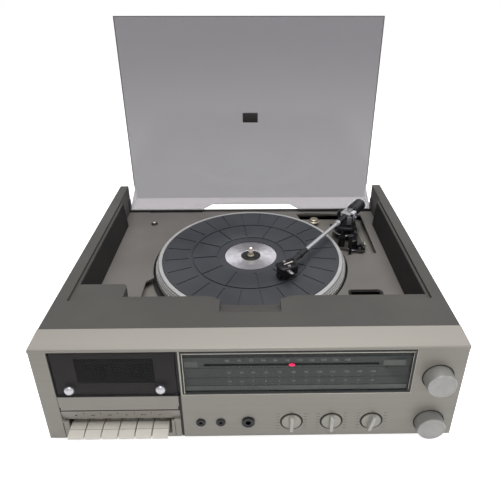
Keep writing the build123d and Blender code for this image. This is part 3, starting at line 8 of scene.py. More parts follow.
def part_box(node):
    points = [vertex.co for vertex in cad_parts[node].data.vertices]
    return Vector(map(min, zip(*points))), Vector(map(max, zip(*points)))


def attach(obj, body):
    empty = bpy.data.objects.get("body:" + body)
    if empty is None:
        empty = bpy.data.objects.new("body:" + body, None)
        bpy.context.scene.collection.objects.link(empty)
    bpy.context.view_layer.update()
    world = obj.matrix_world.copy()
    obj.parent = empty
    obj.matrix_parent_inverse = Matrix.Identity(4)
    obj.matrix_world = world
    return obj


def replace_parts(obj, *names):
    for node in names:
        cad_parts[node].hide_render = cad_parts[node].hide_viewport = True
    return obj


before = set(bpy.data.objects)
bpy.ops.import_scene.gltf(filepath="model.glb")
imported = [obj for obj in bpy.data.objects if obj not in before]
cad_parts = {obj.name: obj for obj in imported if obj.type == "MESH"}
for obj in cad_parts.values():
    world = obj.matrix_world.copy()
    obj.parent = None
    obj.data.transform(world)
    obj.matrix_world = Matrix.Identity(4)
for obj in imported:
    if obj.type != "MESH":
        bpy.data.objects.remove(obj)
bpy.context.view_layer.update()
MM = 0.001

# The front lip is the datum that the front's markings are set out from.
front_low, front_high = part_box("front_panel")
LIP_Z = front_high[2] - 2.0 * MM
FRONT_Y = front_low[1] + 1.2 * MM


def spot(x, depth, drop):
    """Point x to the right, a depth behind the front plate and a drop below the lip, in mm."""
    return Vector((x * MM, FRONT_Y + depth * MM, LIP_Z - drop * MM))


# ------------------------------------------------------------- camera
FOCAL_PX = 484.1032
CENTRE_PX = (259.5167, 201.7286)
IMAGE_PX = 500.0
SENSOR_WIDTH = 36.0
CAMERA_AT = Vector((3.8055, -617.36, 522.09)) * MM
CAMERA_HEADING, CAMERA_DIP, CAMERA_ROLL = -0.8866, 26.4178, 0.0529

camera_data = bpy.data.cameras.new("camera")
camera = bpy.data.objects.new("camera", camera_data)
bpy.context.scene.collection.objects.link(camera)
bpy.context.scene.camera = camera
camera_data.sensor_width = SENSOR_WIDTH
camera_data.lens = FOCAL_PX / IMAGE_PX * SENSOR_WIDTH
camera_data.shift_x = (IMAGE_PX / 2 - CENTRE_PX[0]) / IMAGE_PX
camera_data.shift_y = (CENTRE_PX[1] - IMAGE_PX / 2) / IMAGE_PX
camera_turn = (Matrix.Rotation(radians(CAMERA_HEADING), 4, "Z")
               @ Matrix.Rotation(radians(90 - CAMERA_DIP), 4, "X")
               @ Matrix.Rotation(radians(CAMERA_ROLL), 4, "Z"))
camera.matrix_world = Matrix.Translation(CAMERA_AT) @ camera_turn


# ------------------------------------------------------------- finishes
def surface_of(material):
    """The material's surface shader."""
    return material.node_tree.nodes["Principled BSDF"]


def finish(name, colour, roughness, metallic=0.0):
    """New material with one plain surface shader."""
    material = bpy.data.materials.new(name)
    material.use_nodes = True
    surface = surface_of(material)
    surface.inputs["Base Color"].default_value = (*colour, 1.0)
    surface.inputs["Roughness"].default_value = roughness
    surface.inputs["Specular IOR Level"].default_value = 0.3
    surface.inputs["Metallic"].default_value = metallic
    return material


def feed(material, label, socket):
    """Link a socket to one input of the surface shader."""
    material.node_tree.links.new(socket, surface_of(material).inputs[label])


def place_on_object(material, stretch=(1.0, 1.0, 1.0), shift=(0.0, 0.0, 0.0)):
    """Object coordinates, stretched and then shifted along each axis."""
    tree = material.node_tree
    coordinates = tree.nodes.new("ShaderNodeTexCoord")
    mapping = tree.nodes.new("ShaderNodeMapping")
    mapping.inputs["Scale"].default_value = stretch
    mapping.inputs["Location"].default_value = shift
    tree.links.new(coordinates.outputs["Object"], mapping.inputs["Vector"])
    return mapping.outputs["Vector"]


def noise(material, scale, detail, stretch=(1.0, 1.0, 1.0)):
    """Noise level on Object coordinates."""
    tree = material.node_tree
    texture = tree.nodes.new("ShaderNodeTexNoise")
    texture.inputs["Scale"].default_value = scale
    texture.inputs["Detail"].default_value = detail
    tree.links.new(place_on_object(material, stretch), texture.inputs["Vector"])
    return texture.outputs["Fac"]


def ranged(tree, level, given, wanted):
    """Map one range of a level onto another."""
    change = tree.nodes.new("ShaderNodeMapRange")
    for label, value in zip(("From Min", "From Max", "To Min", "To Max"), (*given, *wanted)):
        change.inputs[label].default_value = value
    tree.links.new(level, change.inputs["Value"])
    return change.outputs["Result"]


def blend(material, level, first, second, start, end):
    """Base colour that goes from one tone to another between two levels."""
    tree = material.node_tree
    ramp = tree.nodes.new("ShaderNodeValToRGB")
    stops = ramp.color_ramp.elements
    stops[0].position, stops[1].position = start, end
    stops[0].color, stops[1].color = (*first, 1.0), (*second, 1.0)
    tree.links.new(level, ramp.inputs["Fac"])
    feed(material, "Base Color", ramp.outputs["Color"])


def vary_colour(material, level, dark, light):
    """Base colour that wanders between two tones."""
    blend(material, level, dark, light, 0.3, 0.7)


def vary_roughness(material, level, low, high):
    """Roughness that wanders between two values, as handled surfaces do."""
    feed(material, "Roughness", ranged(material.node_tree, level, (0.3, 0.7), (low, high)))


def drift_with_height(material, low, high, below, above):
    """Base colour that changes between two heights."""
    tree = material.node_tree
    split = tree.nodes.new("ShaderNodeSeparateXYZ")
    tree.links.new(place_on_object(material), split.inputs["Vector"])
    level = ranged(tree, split.outputs["Z"], (low, high), (0.0, 1.0))
    blend(material, level, below, above, 0.0, 1.0)


def emboss(material, level, height, strength):
    """Fine surface relief of a given height in metres."""
    tree = material.node_tree
    bump = tree.nodes.new("ShaderNodeBump")
    bump.inputs["Strength"].default_value = strength
    bump.inputs["Distance"].default_value = height
    tree.links.new(level, bump.inputs["Height"])
    feed(material, "Normal", bump.outputs["Normal"])


def turning_marks(material, centre, axis, scale, height, distortion=0.0):
    """Concentric marks about an upright (Z) or front-to-back (Y) axis through a point."""
    tree = material.node_tree
    shift = (-centre[0], -centre[1], 0.0) if axis == "Z" else (-centre[0], 0.0, -centre[2])
    rings = tree.nodes.new("ShaderNodeTexWave")
    rings.wave_type = "RINGS"
    rings.rings_direction = axis
    rings.inputs["Scale"].default_value = scale
    rings.inputs["Distortion"].default_value = distortion
    tree.links.new(place_on_object(material, shift=shift), rings.inputs["Vector"])
    emboss(material, rings.outputs["Fac"], height, 0.6)


def radial_sheen(material, centre, amount):
    """Stretch the gloss across the turning marks round a vertical axis."""
    tree = material.node_tree
    across = tree.nodes.new("ShaderNodeVectorMath")
    across.operation = "CROSS_PRODUCT"
    across.inputs[1].default_value = (0.0, 0.0, 1.0)
    to_world = tree.nodes.new("ShaderNodeVectorTransform")
    to_world.vector_type = "VECTOR"
    to_world.convert_from = "OBJECT"
    to_world.convert_to = "WORLD"
    from_axis = place_on_object(material, shift=(-centre[0], -centre[1], 0.0))
    tree.links.new(from_axis, across.inputs[0])
    tree.links.new(across.outputs["Vector"], to_world.inputs["Vector"])
    feed(material, "Tangent", to_world.outputs["Vector"])
    surface_of(material).inputs["Anisotropic"].default_value = amount


def textured_plastic(name, dark, light, roughness, grain_height=0.00006):
    """Moulded plastic with a fine spark-eroded grain and slight tone drift."""
    material = finish(name, dark, roughness)
    vary_colour(material, noise(material, 9.0, 4.0), dark, light)
    emboss(material, noise(material, 900.0, 2.0), grain_height, 0.6)
    vary_roughness(material, noise(material, 30.0, 3.0), roughness - 0.05, roughness + 0.08)
    return material


def brushed_silver(name, dark, light, roughness, stretch, metallic):
    """Silver lacquer with very fine brushing along one direction."""
    material = finish(name, light, roughness, metallic)
    vary_colour(material, noise(material, 1.0, 5.0, stretch), dark, light)
    emboss(material, noise(material, 1.5, 3.0, stretch), 0.00001, 0.5)
    return material


def gloss_plastic(name, colour, roughness, lighter=1.35):
    """Polished plastic with faint dust and handling marks in its gloss."""
    material = finish(name, colour, roughness)
    light = tuple(c * lighter for c in colour)
    vary_colour(material, noise(material, 25.0, 4.0), colour, light)
    vary_roughness(material, noise(material, 60.0, 5.0), roughness, roughness + 0.12)
    return material


def bright_metal(name, colour, roughness):
    """Plated or turned metal with slight drift in its polish."""
    material = finish(name, colour, roughness, 1.0)
    vary_colour(material, noise(material, 40.0, 3.0), tuple(c * 0.88 for c in colour), colour)
    vary_roughness(material, noise(material, 150.0, 4.0), roughness, roughness + 0.1)
    return material


def see_through(name, colour, alpha, roughness):
    """Clear or smoked acrylic with faint swirl marks."""
    material = finish(name, colour, roughness)
    surface = surface_of(material)
    surface.inputs["Alpha"].default_value = alpha
    surface.inputs["IOR"].default_value = 1.49
    vary_roughness(material, noise(material, 20.0, 6.0), roughness, roughness + 0.06)
    return material


LID_TINT = (0.118, 0.088, 0.130)
# Paler tint for the lid's heel: a painted highlight.
LID_HEEL_HIGHLIGHT = (0.50, 0.46, 0.48)
ARM_BASE_BLACK = (0.012, 0.012, 0.014)
ARM_BASE_FACE = (0.10, 0.093, 0.085)
EVEN = (40.0, 40.0, 40.0)

CABINET = textured_plastic("cabinet_brown_grey", (0.060, 0.056, 0.052),
                           (0.073, 0.069, 0.063), 0.50)
DECK = textured_plastic("deck_brown_grey", (0.136, 0.127, 0.119), (0.174, 0.162, 0.152), 0.45)
FRONT = brushed_silver("front_silver", (0.325, 0.305, 0.273), (0.343, 0.323, 0.291), 0.42,
                       (2.0, 30.0, 300.0), 0.12)
SMALL_KNOB = brushed_silver("small_knob_silver", (0.34, 0.325, 0.29), (0.38, 0.365, 0.33), 0.36,
                            (9.0, 9.0, 400.0), 0.3)
KNOB_BAR = brushed_silver("knob_bar_silver", (0.44, 0.43, 0.40), (0.50, 0.49, 0.46), 0.30,
                          (9.0, 9.0, 90.0), 0.25)
BLACK = textured_plastic("black_plastic", (0.012, 0.012, 0.013), (0.020, 0.020, 0.021), 0.40)
# Near-black for dark sheets set where there is only shade: painted shade.
SHADOW_BLACK = textured_plastic("painted_shadow_black", (0.010, 0.009, 0.009),
                                (0.018, 0.016, 0.015), 0.85)
GLOSS_BLACK = gloss_plastic("gloss_black", (0.010, 0.010, 0.012), 0.12)
BLACK_METAL = gloss_plastic("black_lacquer", (0.016, 0.016, 0.018), 0.28)
DIAL_PRINT = gloss_plastic("dial_card", (0.092, 0.100, 0.096), 0.45, 1.15)
DIAL_TOP = gloss_plastic("dial_top_band", (0.006, 0.007, 0.008), 0.5)
DIAL_END = gloss_plastic("dial_end_block", (0.125, 0.132, 0.126), 0.45)
DIAL_GLASS = see_through("dial_lens", (0.05, 0.06, 0.055), 0.12, 0.05)
SMOKED = see_through("smoked_window", (0.010, 0.009, 0.011), 0.60, 0.06)
BRIGHT = bright_metal("bright_metal", (0.42, 0.42, 0.44), 0.24)
SATIN = brushed_silver("satin_block", (0.70, 0.70, 0.73), (0.80, 0.80, 0.82), 0.3, EVEN, 0.2)
TUBE = brushed_silver("arm_tube_satin", (0.50, 0.50, 0.52), (0.56, 0.56, 0.58), 0.26, EVEN, 0.45)
GIMBAL = brushed_silver("gimbal_grey", (0.20, 0.205, 0.22), (0.26, 0.265, 0.28), 0.32, EVEN, 0.3)
STEEL = bright_metal("plain_steel", (0.40, 0.40, 0.41), 0.34)
BRASS = bright_metal("brass", (0.60, 0.45, 0.20), 0.3)
CHAMPAGNE = bright_metal("champagne_metal", (0.72, 0.66, 0.54), 0.28)
IVORY = gloss_plastic("ivory_keys", (0.91, 0.87, 0.79), 0.36, 1.02)
# Black rubber; also the colour of the painted shadow bar under the lid's heel.
RUBBER_AND_SHADE = textured_plastic("black_rubber_and_shade", (0.010, 0.010, 0.011), (0.016, 0.016, 0.017), 0.75)
MAT = textured_plastic("mat_rubber", (0.034, 0.036, 0.042), (0.060, 0.063, 0.071), 0.44, 0.00008)
PLATTER = brushed_silver("platter_alloy", (0.55, 0.55, 0.55), (0.62, 0.62, 0.62), 0.34,
                         (60.0, 60.0, 60.0), 0.5)
DOTS = bright_metal("strobe_dots", (0.85, 0.85, 0.84), 0.4)
DISC = bright_metal("label_disc", (0.62, 0.61, 0.64), 0.36)
TRIM = finish("cream_trim", (0.72, 0.69, 0.60), 0.35)
RED = gloss_plastic("pointer_red", (0.80, 0.02, 0.10), 0.3)
BOARD = gloss_plastic("board_green", (0.02, 0.10, 0.035), 0.4)
INNER = gloss_plastic("inner_metal", (0.16, 0.15, 0.14), 0.4)
BROWN = gloss_plastic("window_mask_brown", (0.160, 0.142, 0.138), 0.5, 1.1)
CHASSIS = textured_plastic("chassis_grey", (0.14, 0.13, 0.118), (0.22, 0.205, 0.185), 0.4)
ARM_BASE = gloss_plastic("arm_base_black", ARM_BASE_BLACK, 0.2)
# Black print; also the colour of dark rings and discs that are painted shadow.
INK_AND_SHADE = finish("black_ink_and_shade", (0.02, 0.019, 0.018), 0.6)
PALE_INK = finish("pale_ink", (0.34, 0.39, 0.37), 0.6)
DIAL_LINE = finish("dial_line", (0.020, 0.023, 0.022), 0.6)
LID_EDGE = finish("lid_edge", (0.06, 0.055, 0.06), 0.4)
PRINT_GREY = finish("grey_print", (0.13, 0.125, 0.11), 0.6)
CREASE_SHADE = finish("key_crease_shade", (0.33, 0.31, 0.26), 0.5)
LID = see_through("smoked_lid", LID_TINT, 0.57, 0.10)

platter_low, platter_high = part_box("platter")
PLATTER_AT = (platter_low + platter_high) / 2
radial_sheen(DISC, PLATTER_AT, 0.6)
turning_marks(DISC, PLATTER_AT, "Z", 900.0, 0.000004, 0.2)
turning_marks(PLATTER, PLATTER_AT, "Z", 700.0, 0.00001, 0.2)
for pane in (SMOKED, DIAL_GLASS):
    surface_of(pane).inputs["Specular IOR Level"].default_value = 0.1
# The lid's heel is painted paler than its pane, a painted highlight where its upturned face
# catches the light; the arm base's foot is paler than its column.
drift_with_height(LID, 0.1086, 0.1096, LID_HEEL_HIGHLIGHT, LID_TINT)
drift_with_height(ARM_BASE, 0.0949, 0.0952, ARM_BASE_FACE, ARM_BASE_BLACK)

# Painted glow: the red pointer bead shines by emission.
painted_glow = surface_of(RED)
painted_glow.inputs["Emission Color"].default_value = (1.0, 0.02, 0.13, 1.0)
painted_glow.inputs["Emission Strength"].default_value = 0.9

NODE_FINISHES = {
    CABINET: ["top_case"],
    DECK: ["deck_plate"],
    FRONT: ["front_panel", "cassette_fascia", "cassette_door"],
    SMALL_KNOB: ["tuning_knob", "volume_knob", "tone_knob", "selector_knob", "balance_knob"],
    BLACK: ["base_pan", "rear_panel", "control_plate", "cassette_bay", "arm_yoke", "headshell",
            "cue_lever", "arm_rest", "hinge_brackets", "dial_pointer"],
    GLOSS_BLACK: ["rear_sockets", "mains_inlet", "dial_frame", "reel_spindle_left",
                  "reel_spindle_right", "cartridge", "phones_socket", "mic_sockets"],
    BLACK_METAL: ["counterweight", "lift_bar"],
    CHASSIS: ["turntable_chassis"],
    ARM_BASE: ["arm_base"],
    DIAL_PRINT: ["dial_scale"],
    DIAL_GLASS: ["dial_glass"],
    SMOKED: ["door_window"],
    BRIGHT: ["door_studs", "transit_screws"],
    TUBE: ["arm_tube"],
    STEEL: ["control_pots", "tape_heads"],
    BRASS: ["platter_bearing", "motor_pulley"],
    CHAMPAGNE: ["spindle"],
    IVORY: [f"cassette_key_{number}" for number in range(1, 7)],
    RUBBER_AND_SHADE: ["feet", "suspension_mounts", "drive_belt"],
    MAT: ["platter_mat"],
    PLATTER: ["platter"],
    DISC: ["label_disc"],
    BOARD: ["circuit_board"],
    INNER: ["platter_motor", "power_transformer"],
    LID: ["lid"],
}
for material, names in NODE_FINISHES.items():
    for name in names:
        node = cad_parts[name]
        if not node.material_slots:
            node.data.materials.append(material)
        for entry in node.material_slots:
            entry.material = material


# ------------------------------------------------------------- modelling
UP = Vector((0.0, 0.0, 1.0))
FORWARD = Vector((0.0, -1.0, 0.0))
BACKWARD = Vector((0.0, 1.0, 0.0))


def clear():
    """Deselect everything."""
    bpy.ops.object.select_all(action="DESELECT")


def only(piece):
    """Select one piece alone and make it active."""
    clear()
    piece.select_set(True)
    bpy.context.view_layer.objects.active = piece


def edit():
    """Edit the active piece's mesh."""
    bpy.ops.object.mode_set(mode="EDIT")


def leave():
    """Go back to whole pieces."""
    bpy.ops.object.mode_set(mode="OBJECT")


def all_of_it():
    """Select the whole mesh in edit mode."""
    bpy.ops.mesh.select_all(action="SELECT")


def outwards():
    """Turn every face of the mesh outwards."""
    all_of_it()
    bpy.ops.mesh.normals_make_consistent(inside=False)


def pick(piece, kind, wanted):
    """Edit a piece with only the wanted faces, edges or corners selected."""
    edit()
    bpy.ops.mesh.select_all(action="DESELECT")
    leave()
    mesh = piece.data
    parts = {"faces": mesh.polygons, "edges": mesh.edges, "corners": mesh.vertices}[kind]
    for part in parts:
        part.select = wanted(part)
    edit()


def settle(piece, smooth=True):
    """Put the piece's place into its mesh, so that its object sits at the origin."""
    only(piece)
    bpy.ops.object.transform_apply(location=True, rotation=True, scale=True)
    if smooth:
        bpy.ops.object.shade_smooth_by_angle(angle=radians(32))
    return piece


def dress(piece, material, body):
    """Give a finished piece its finish and the body it rides on."""
    piece.data.materials.clear()
    piece.data.materials.append(material)
    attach(piece, body)
    return piece


def block(name, centre, size):
    """Plain box about a centre, in metres."""
    clear()
    bpy.ops.mesh.primitive_cube_add(size=1.0, location=centre, scale=size)
    piece = bpy.context.active_object
    piece.name = name
    return settle(piece, False)


def draw_out(name, steps, segments=48):
    """Disc along Z, extruded and resized step by step, each step (radius, height) in mm."""
    clear()
    radius, height = steps[0]
    bpy.ops.mesh.primitive_circle_add(vertices=segments, radius=radius * MM, fill_type="NGON",
                                      location=(0.0, 0.0, 0.0))
    piece = bpy.context.active_object
    piece.name = name
    edit()
    all_of_it()
    bpy.ops.transform.translate(value=(0.0, 0.0, height * MM))
    for next_radius, next_height in steps[1:]:
        rise = (next_height - height) * MM
        bpy.ops.mesh.extrude_region_move(TRANSFORM_OT_translate={"value": (0.0, 0.0, rise)})
        ratio = next_radius / radius
        bpy.ops.transform.resize(value=(ratio, ratio, 1.0),
                                 center_override=(0.0, 0.0, next_height * MM))
        radius, height = next_radius, next_height
    outwards()
    leave()
    return piece


def flute(piece, least, low, high, ratio):
    """Press every second line of side corners in between two heights, as on a knurled grip."""
    def on_flute(corner):
        x, y, z = corner.co / MM
        return corner.index % 2 == 0 and x * x + y * y > least * least and low <= z <= high

    only(piece)
    pick(piece, "corners", on_flute)
    bpy.ops.transform.resize(value=(ratio, ratio, 1.0), center_override=(0.0, 0.0, 0.0))
    leave()


def set_on(piece, at, along=UP):
    """Stand a piece drawn along Z at a point, along a direction."""
    turn = UP.rotation_difference(along).to_matrix().to_4x4()
    piece.matrix_world = Matrix.Translation(at) @ turn
    return settle(piece)


def turned(name, steps, at, along, material, body, segments=48):
    """Round piece, drawn out, set in place and finished."""
    return dress(set_on(draw_out(name, steps, segments), at, along), material, body)


def ring(name, inner, outer, low, high, at, along, material, body, break_edge=0.2):
    """Ring with an open bore: up the outside, down the inside, and its two end caps bridged."""
    steps = [(outer, low), (outer, high - break_edge), (outer - break_edge, high),
             (inner + break_edge, high), (inner, high - break_edge), (inner, low + 0.02)]
    piece = draw_out(name, steps, 64)
    edit()
    bpy.ops.mesh.select_mode(type="FACE")
    pick(piece, "faces", lambda face: len(face.vertices) > 4)
    bpy.ops.mesh.delete(type="ONLY_FACE")
    bpy.ops.mesh.select_mode(type="EDGE")
    bpy.ops.mesh.select_non_manifold()
    bpy.ops.mesh.bridge_edge_loops()
    bpy.ops.mesh.select_mode(type="VERT")
    outwards()
    leave()
    return dress(set_on(piece, at, along), material, body)


def bars(name, boxes, material, body, round_off=0.0):
    """Straight bars in one piece, each between two opposite corners."""
    piece = None
    for one, other in boxes:
        low = Vector(min(a, b) for a, b in zip(one, other))
        high = Vector(max(a, b) for a, b in zip(one, other))
        centre, size = (low + high) / 2, high - low
        if piece is None:
            piece = block(name, centre, size)
            edit()
        else:
            bpy.ops.mesh.primitive_cube_add(size=1.0, location=centre, scale=size)
    if round_off:
        all_of_it()
        bpy.ops.mesh.bevel(offset=round_off * MM, segments=2, affect="EDGES")
    leave()
    return dress(settle(piece, bool(round_off)), material, body)


def marks(name, rows, depth, material, body, proud):
    """Printed dashes on a face towards the user: each row is x0, x1, drop0, drop1 in mm."""
    boxes = [(spot(x0, depth, drop0), spot(x1, depth - proud, drop1))
             for x0, x1, drop0, drop1 in rows]
    return bars(name, boxes, material, body)


def figures(name, text, size, at, material, body):
    """Raised plain figures that face the user."""
    clear()
    bpy.ops.object.text_add(location=(0.0, 0.0, 0.0))
    piece = bpy.context.active_object
    piece.name = name
    piece.data.body = text
    piece.data.size = size * MM
    piece.data.align_x = "CENTER"
    piece.data.align_y = "CENTER"
    piece.data.extrude = 0.05 * MM
    piece.data.resolution_u = 3
    bpy.ops.object.convert(target="MESH")
    piece = bpy.context.active_object
    piece.matrix_world = Matrix.Translation(at) @ Matrix.Rotation(radians(90), 4, "X")
    return dress(settle(piece, False), material, body)


def joined(name, pieces, material, body):
    """One piece made of several of the same finish."""
    clear()
    for piece in pieces:
        piece.select_set(True)
    bpy.context.view_layer.objects.active = pieces[0]
    bpy.ops.object.join()
    pieces[0].name = name
    return dress(pieces[0], material, body)


def around(piece, count, centre):
    """Repeat a piece's mesh evenly round a vertical axis."""
    only(piece)
    edit()
    all_of_it()
    bpy.ops.mesh.spin(steps=count - 1, dupli=True, angle=2 * pi * (count - 1) / count,
                      center=centre, axis=UP)
    leave()


def carve(piece, cutter):
    """Take the cutter's volume out of a piece."""
    only(piece)
    modifier = piece.modifiers.new("carve", "BOOLEAN")
    modifier.operation = "DIFFERENCE"
    modifier.solver = "EXACT"
    modifier.object = cutter
    bpy.ops.object.modifier_apply(modifier=modifier.name)
    bpy.data.objects.remove(cutter)


def soften(name, width):
    """Broken edges on a CAD node."""
    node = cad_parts[name]
    weld = node.modifiers.new("weld", "WELD")
    weld.merge_threshold = 0.00001
    bevel = node.modifiers.new("edges", "BEVEL")
    bevel.width = width * MM
    bevel.segments = 2
    bevel.limit_method = "ANGLE"
    bevel.angle_limit = radians(40.0)
    bevel.use_clamp_overlap = True


for name, width in (("top_case", 0.5), ("deck_plate", 0.4), ("front_panel", 0.3),
                    ("cassette_fascia", 0.3), ("cassette_door", 0.3), ("dial_frame", 0.2),
                    ("arm_yoke", 0.3), ("hinge_brackets", 0.4)):
    soften(name, width)

# ------------------------------------------------------------- front: dial
DIAL_LEFT, DIAL_RIGHT = -77.5, 183.0
DIAL_TOP_DROP, DIAL_LOW_DROP = 5.2, 69.2
CARD_DEPTH = 1.98
FM_LINE, AM_LINE, SHORT_WAVE_LINE = 30.8, 45.6, 57.3
FM_PLACES = [-25.6 + 13.3 * step for step in range(13)]
AM_PLACES = [-23.7, -9.8, 3.0, 17.5, 32.7, 48.5, 62.5, 77.1, 92.0, 107.5, 122.0, 137.5]
# Figures of each scale, where they stand, their height and their drop.
SCALES = (
    ([str(88 + 2 * step) for step in range(11)], FM_PLACES, 4.6, 20.6),
    ("52 56 60 65 70 80 90 100 110 120 140 160".split(), AM_PLACES, 4.2, 38.2),
    ("5.8 6.2 7 8 9 10 11 12 13 15 17 18".split(), AM_PLACES, 3.8, 51.6),
)

trim_top, trim_low = DIAL_TOP_DROP - 0.6, DIAL_LOW_DROP + 0.9
bars("dial_trim", [
    (spot(DIAL_LEFT - 0.9, 0.5, trim_top), spot(DIAL_LEFT + 0.1, -0.35, trim_low)),
    (spot(DIAL_LEFT - 0.9, 0.5, DIAL_LOW_DROP - 0.1), spot(DIAL_RIGHT + 0.4, -0.35, trim_low)),
    (spot(DIAL_RIGHT - 0.2, 0.5, trim_top), spot(DIAL_RIGHT + 0.4, -0.35, trim_low)),
], TRIM, "cabinet", 0.15)
bars("lens_trim", [
    (spot(-75.6, 0.0, 7.4), spot(181.0, -0.8, 8.3)),
    (spot(-75.0, 0.0, 7.4), spot(-74.2, -0.8, 66.8)),
    (spot(179.4, 0.0, 9.4), spot(179.9, -0.5, 64.5)),
], TRIM, "cabinet", 0.15)
marks("dial_dark_band", [(-74.0, 179.5, 8.7, 16.2)], CARD_DEPTH, DIAL_TOP, "cabinet", 0.05)
marks("dial_end_blocks",
      [(-73.5, -58.5, 21.5, 29.5), (148.0, 172.5, 21.5, 29.5), (-73.5, 177.5, 58.5, 65.4)],
      CARD_DEPTH, DIAL_END, "cabinet", 0.05)
marks("dial_lines",
      [(-72.0, 177.5, line, line + 0.5) for line in (FM_LINE, AM_LINE, SHORT_WAVE_LINE)],
      CARD_DEPTH, DIAL_LINE, "cabinet", 0.1)
marks("dial_ticks",
      [(x - 0.2, x + 0.2, FM_LINE - 1.6, FM_LINE) for x in FM_PLACES]
      + [(x + 6.45, x + 6.75, FM_LINE - 0.9, FM_LINE) for x in FM_PLACES[:-1]]
      + [(x - 0.2, x + 0.2, AM_LINE - 1.6, AM_LINE) for x in AM_PLACES]
      + [(x - 0.2, x + 0.2, SHORT_WAVE_LINE - 1.4, SHORT_WAVE_LINE) for x in AM_PLACES],
      CARD_DEPTH, PALE_INK, "cabinet", 0.1)
dial_figures = [
    figures("figure", text, height, spot(x, CARD_DEPTH - 0.06, drop), PALE_INK, "cabinet")
    for texts, places, height, drop in SCALES for text, x in zip(texts, places)]
joined("dial_figures", dial_figures, PALE_INK, "cabinet")
lamp = draw_out("pointer_lamp", [(2.0, 0.0), (2.0, 0.5), (1.5, 0.95), (0.6, 1.2)], 32)
lamp.scale = (1.7, 1.0, 1.0)
settle(lamp)
dress(set_on(lamp, spot(46.0, 1.6, 26.7), FORWARD), RED, "pointer")

# ------------------------------------------------------------- front: knobs and sockets
KNOB_X = 211.3
KNOB_RADIUS = 16.9
TUNING_DROP, VOLUME_DROP = 46.0, 117.3
SMALL_X = (48.0, 95.2, 142.7)
SMALL_DROP = 115.2
SMALL_RADIUS = 11.4
SOCKET_DROP = 114.8


def large_knob(name, node, drop, proud, body):
    """Turned knob with a finely ribbed side, a bright edge and a slightly dished face."""
    radius = KNOB_RADIUS
    steps = [(radius, -3.6), (radius, -1.0), (radius - 0.1, 0.6), (radius - 0.45, proud - 2.4),
             (radius - 0.6, proud - 1.1), (radius - 1.2, proud - 0.2), (radius - 1.9, proud),
             (radius - 3.0, proud), (radius - 3.4, proud - 0.35),
             (radius * 0.35, proud - 0.55), (1.0, proud - 0.6)]
    piece = draw_out(name, steps, 144)
    flute(piece, radius - 0.9, 0.0, proud - 1.5, 0.988)
    set_on(piece, spot(KNOB_X, 0.0, drop), FORWARD)
    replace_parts(piece, node)
    silver = finish(name + "_silver", (0.35, 0.345, 0.33), 0.34, 0.3)
    vary_colour(silver, noise(silver, 60.0, 3.0), (0.33, 0.325, 0.315), (0.39, 0.385, 0.375))
    turning_marks(silver, spot(KNOB_X, 0.0, drop), "Y", 1100.0, 0.000008)
    return dress(piece, silver, body)


large_knob("tuning_grip", "tuning_knob", TUNING_DROP, 15.0, "tuning")
large_knob("volume_grip", "volume_knob", VOLUME_DROP, 12.5, "volume")
for label, drop in (("tuning", TUNING_DROP), ("volume", VOLUME_DROP)):
    ring(label + "_well", KNOB_RADIUS + 0.35, KNOB_RADIUS + 1.5, -1.6, 0.12,
         spot(KNOB_X, 0.0, drop), FORWARD, INK_AND_SHADE, "cabinet", 0.05)


def faces_up(face):
    """Whether a face looks up."""
    return face.normal.z > 0.9


def small_knob(name, node, x, turn, body):
    """Flush disc with a tall finger bar across it, waisted at its foot."""
    centre = spot(x, 0.0, SMALL_DROP)
    disc = draw_out(name + "_disc", [(SMALL_RADIUS, -3.0), (SMALL_RADIUS, 1.0),
                                     (SMALL_RADIUS - 0.3, 1.3), (SMALL_RADIUS - 1.0, 1.4),
                                     (SMALL_RADIUS - 1.3, 1.15), (3.0, 1.05)], 72)
    set_on(disc, centre, FORWARD)
    bar = block(name, (0.0, 0.0, 3.6 * MM), (5.4 * MM, 2 * (SMALL_RADIUS + 0.2) * MM, 5.2 * MM))
    pick(bar, "faces", faces_up)
    bpy.ops.transform.resize(value=(0.72, 0.97, 1.0), center_override=(0.0, 0.0, 0.0))
    bpy.ops.mesh.inset(thickness=0.5 * MM, depth=0.25 * MM)
    all_of_it()
    bpy.ops.mesh.bevel(offset=0.35 * MM, segments=2, affect="EDGES")
    leave()
    lean = Matrix.Rotation(radians(turn), 4, "Y")
    bar.matrix_world = Matrix.Translation(centre) @ lean @ Matrix.Rotation(radians(90), 4, "X")
    settle(bar)
    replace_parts(disc, node)
    dress(disc, SMALL_KNOB, body)
    dress(bar, KNOB_BAR, body)
    ring(name + "_well", SMALL_RADIUS + 0.1, SMALL_RADIUS + 2.3, -0.4, 0.12, centre, FORWARD,
         INK_AND_SHADE, "cabinet", 0.05)


small_knob("tone_grip", "tone_knob", SMALL_X[0], 0.0, "tone")
small_knob("selector_grip", "selector_knob", SMALL_X[1], 0.0, "selector")
small_knob("balance_grip", "balance_knob", SMALL_X[2], 12.0, "balance")


def tick_ring(name, x, drop, radius, turns, long):
    """Short printed dashes round a knob."""
    dashes = []
    for turn in turns:
        dash = block(name, (0.0, -0.05 * MM, (radius + long / 2) * MM),
                     (0.45 * MM, 0.1 * MM, long * MM))
        lean = Matrix.Rotation(radians(turn), 4, "Y")
        dash.matrix_world = Matrix.Translation(spot(x, 0.0, drop)) @ lean
        dashes.append(settle(dash, False))
    return joined(name, dashes, PRINT_GREY, "cabinet")


for number, x in enumerate(SMALL_X):
    rows = [SMALL_DROP - 13.0 + 4.9 * step for step in range(6)]
    marks(f"small_knob_ticks_{number + 1}",
          [(x + side * 16.0 - 2.2, x + side * 16.0 + 2.2, row, row + 0.4)
           for side in (-1, 1) for row in rows]
          + [(x - 0.3, x + 0.3, SMALL_DROP - 16.6, SMALL_DROP - 14.6)],
          0.0, PRINT_GREY, "cabinet", 0.1)
tick_ring("volume_ticks", KNOB_X, VOLUME_DROP, KNOB_RADIUS + 2.6,
          [-140 + 28 * step for step in range(11)], 1.8)

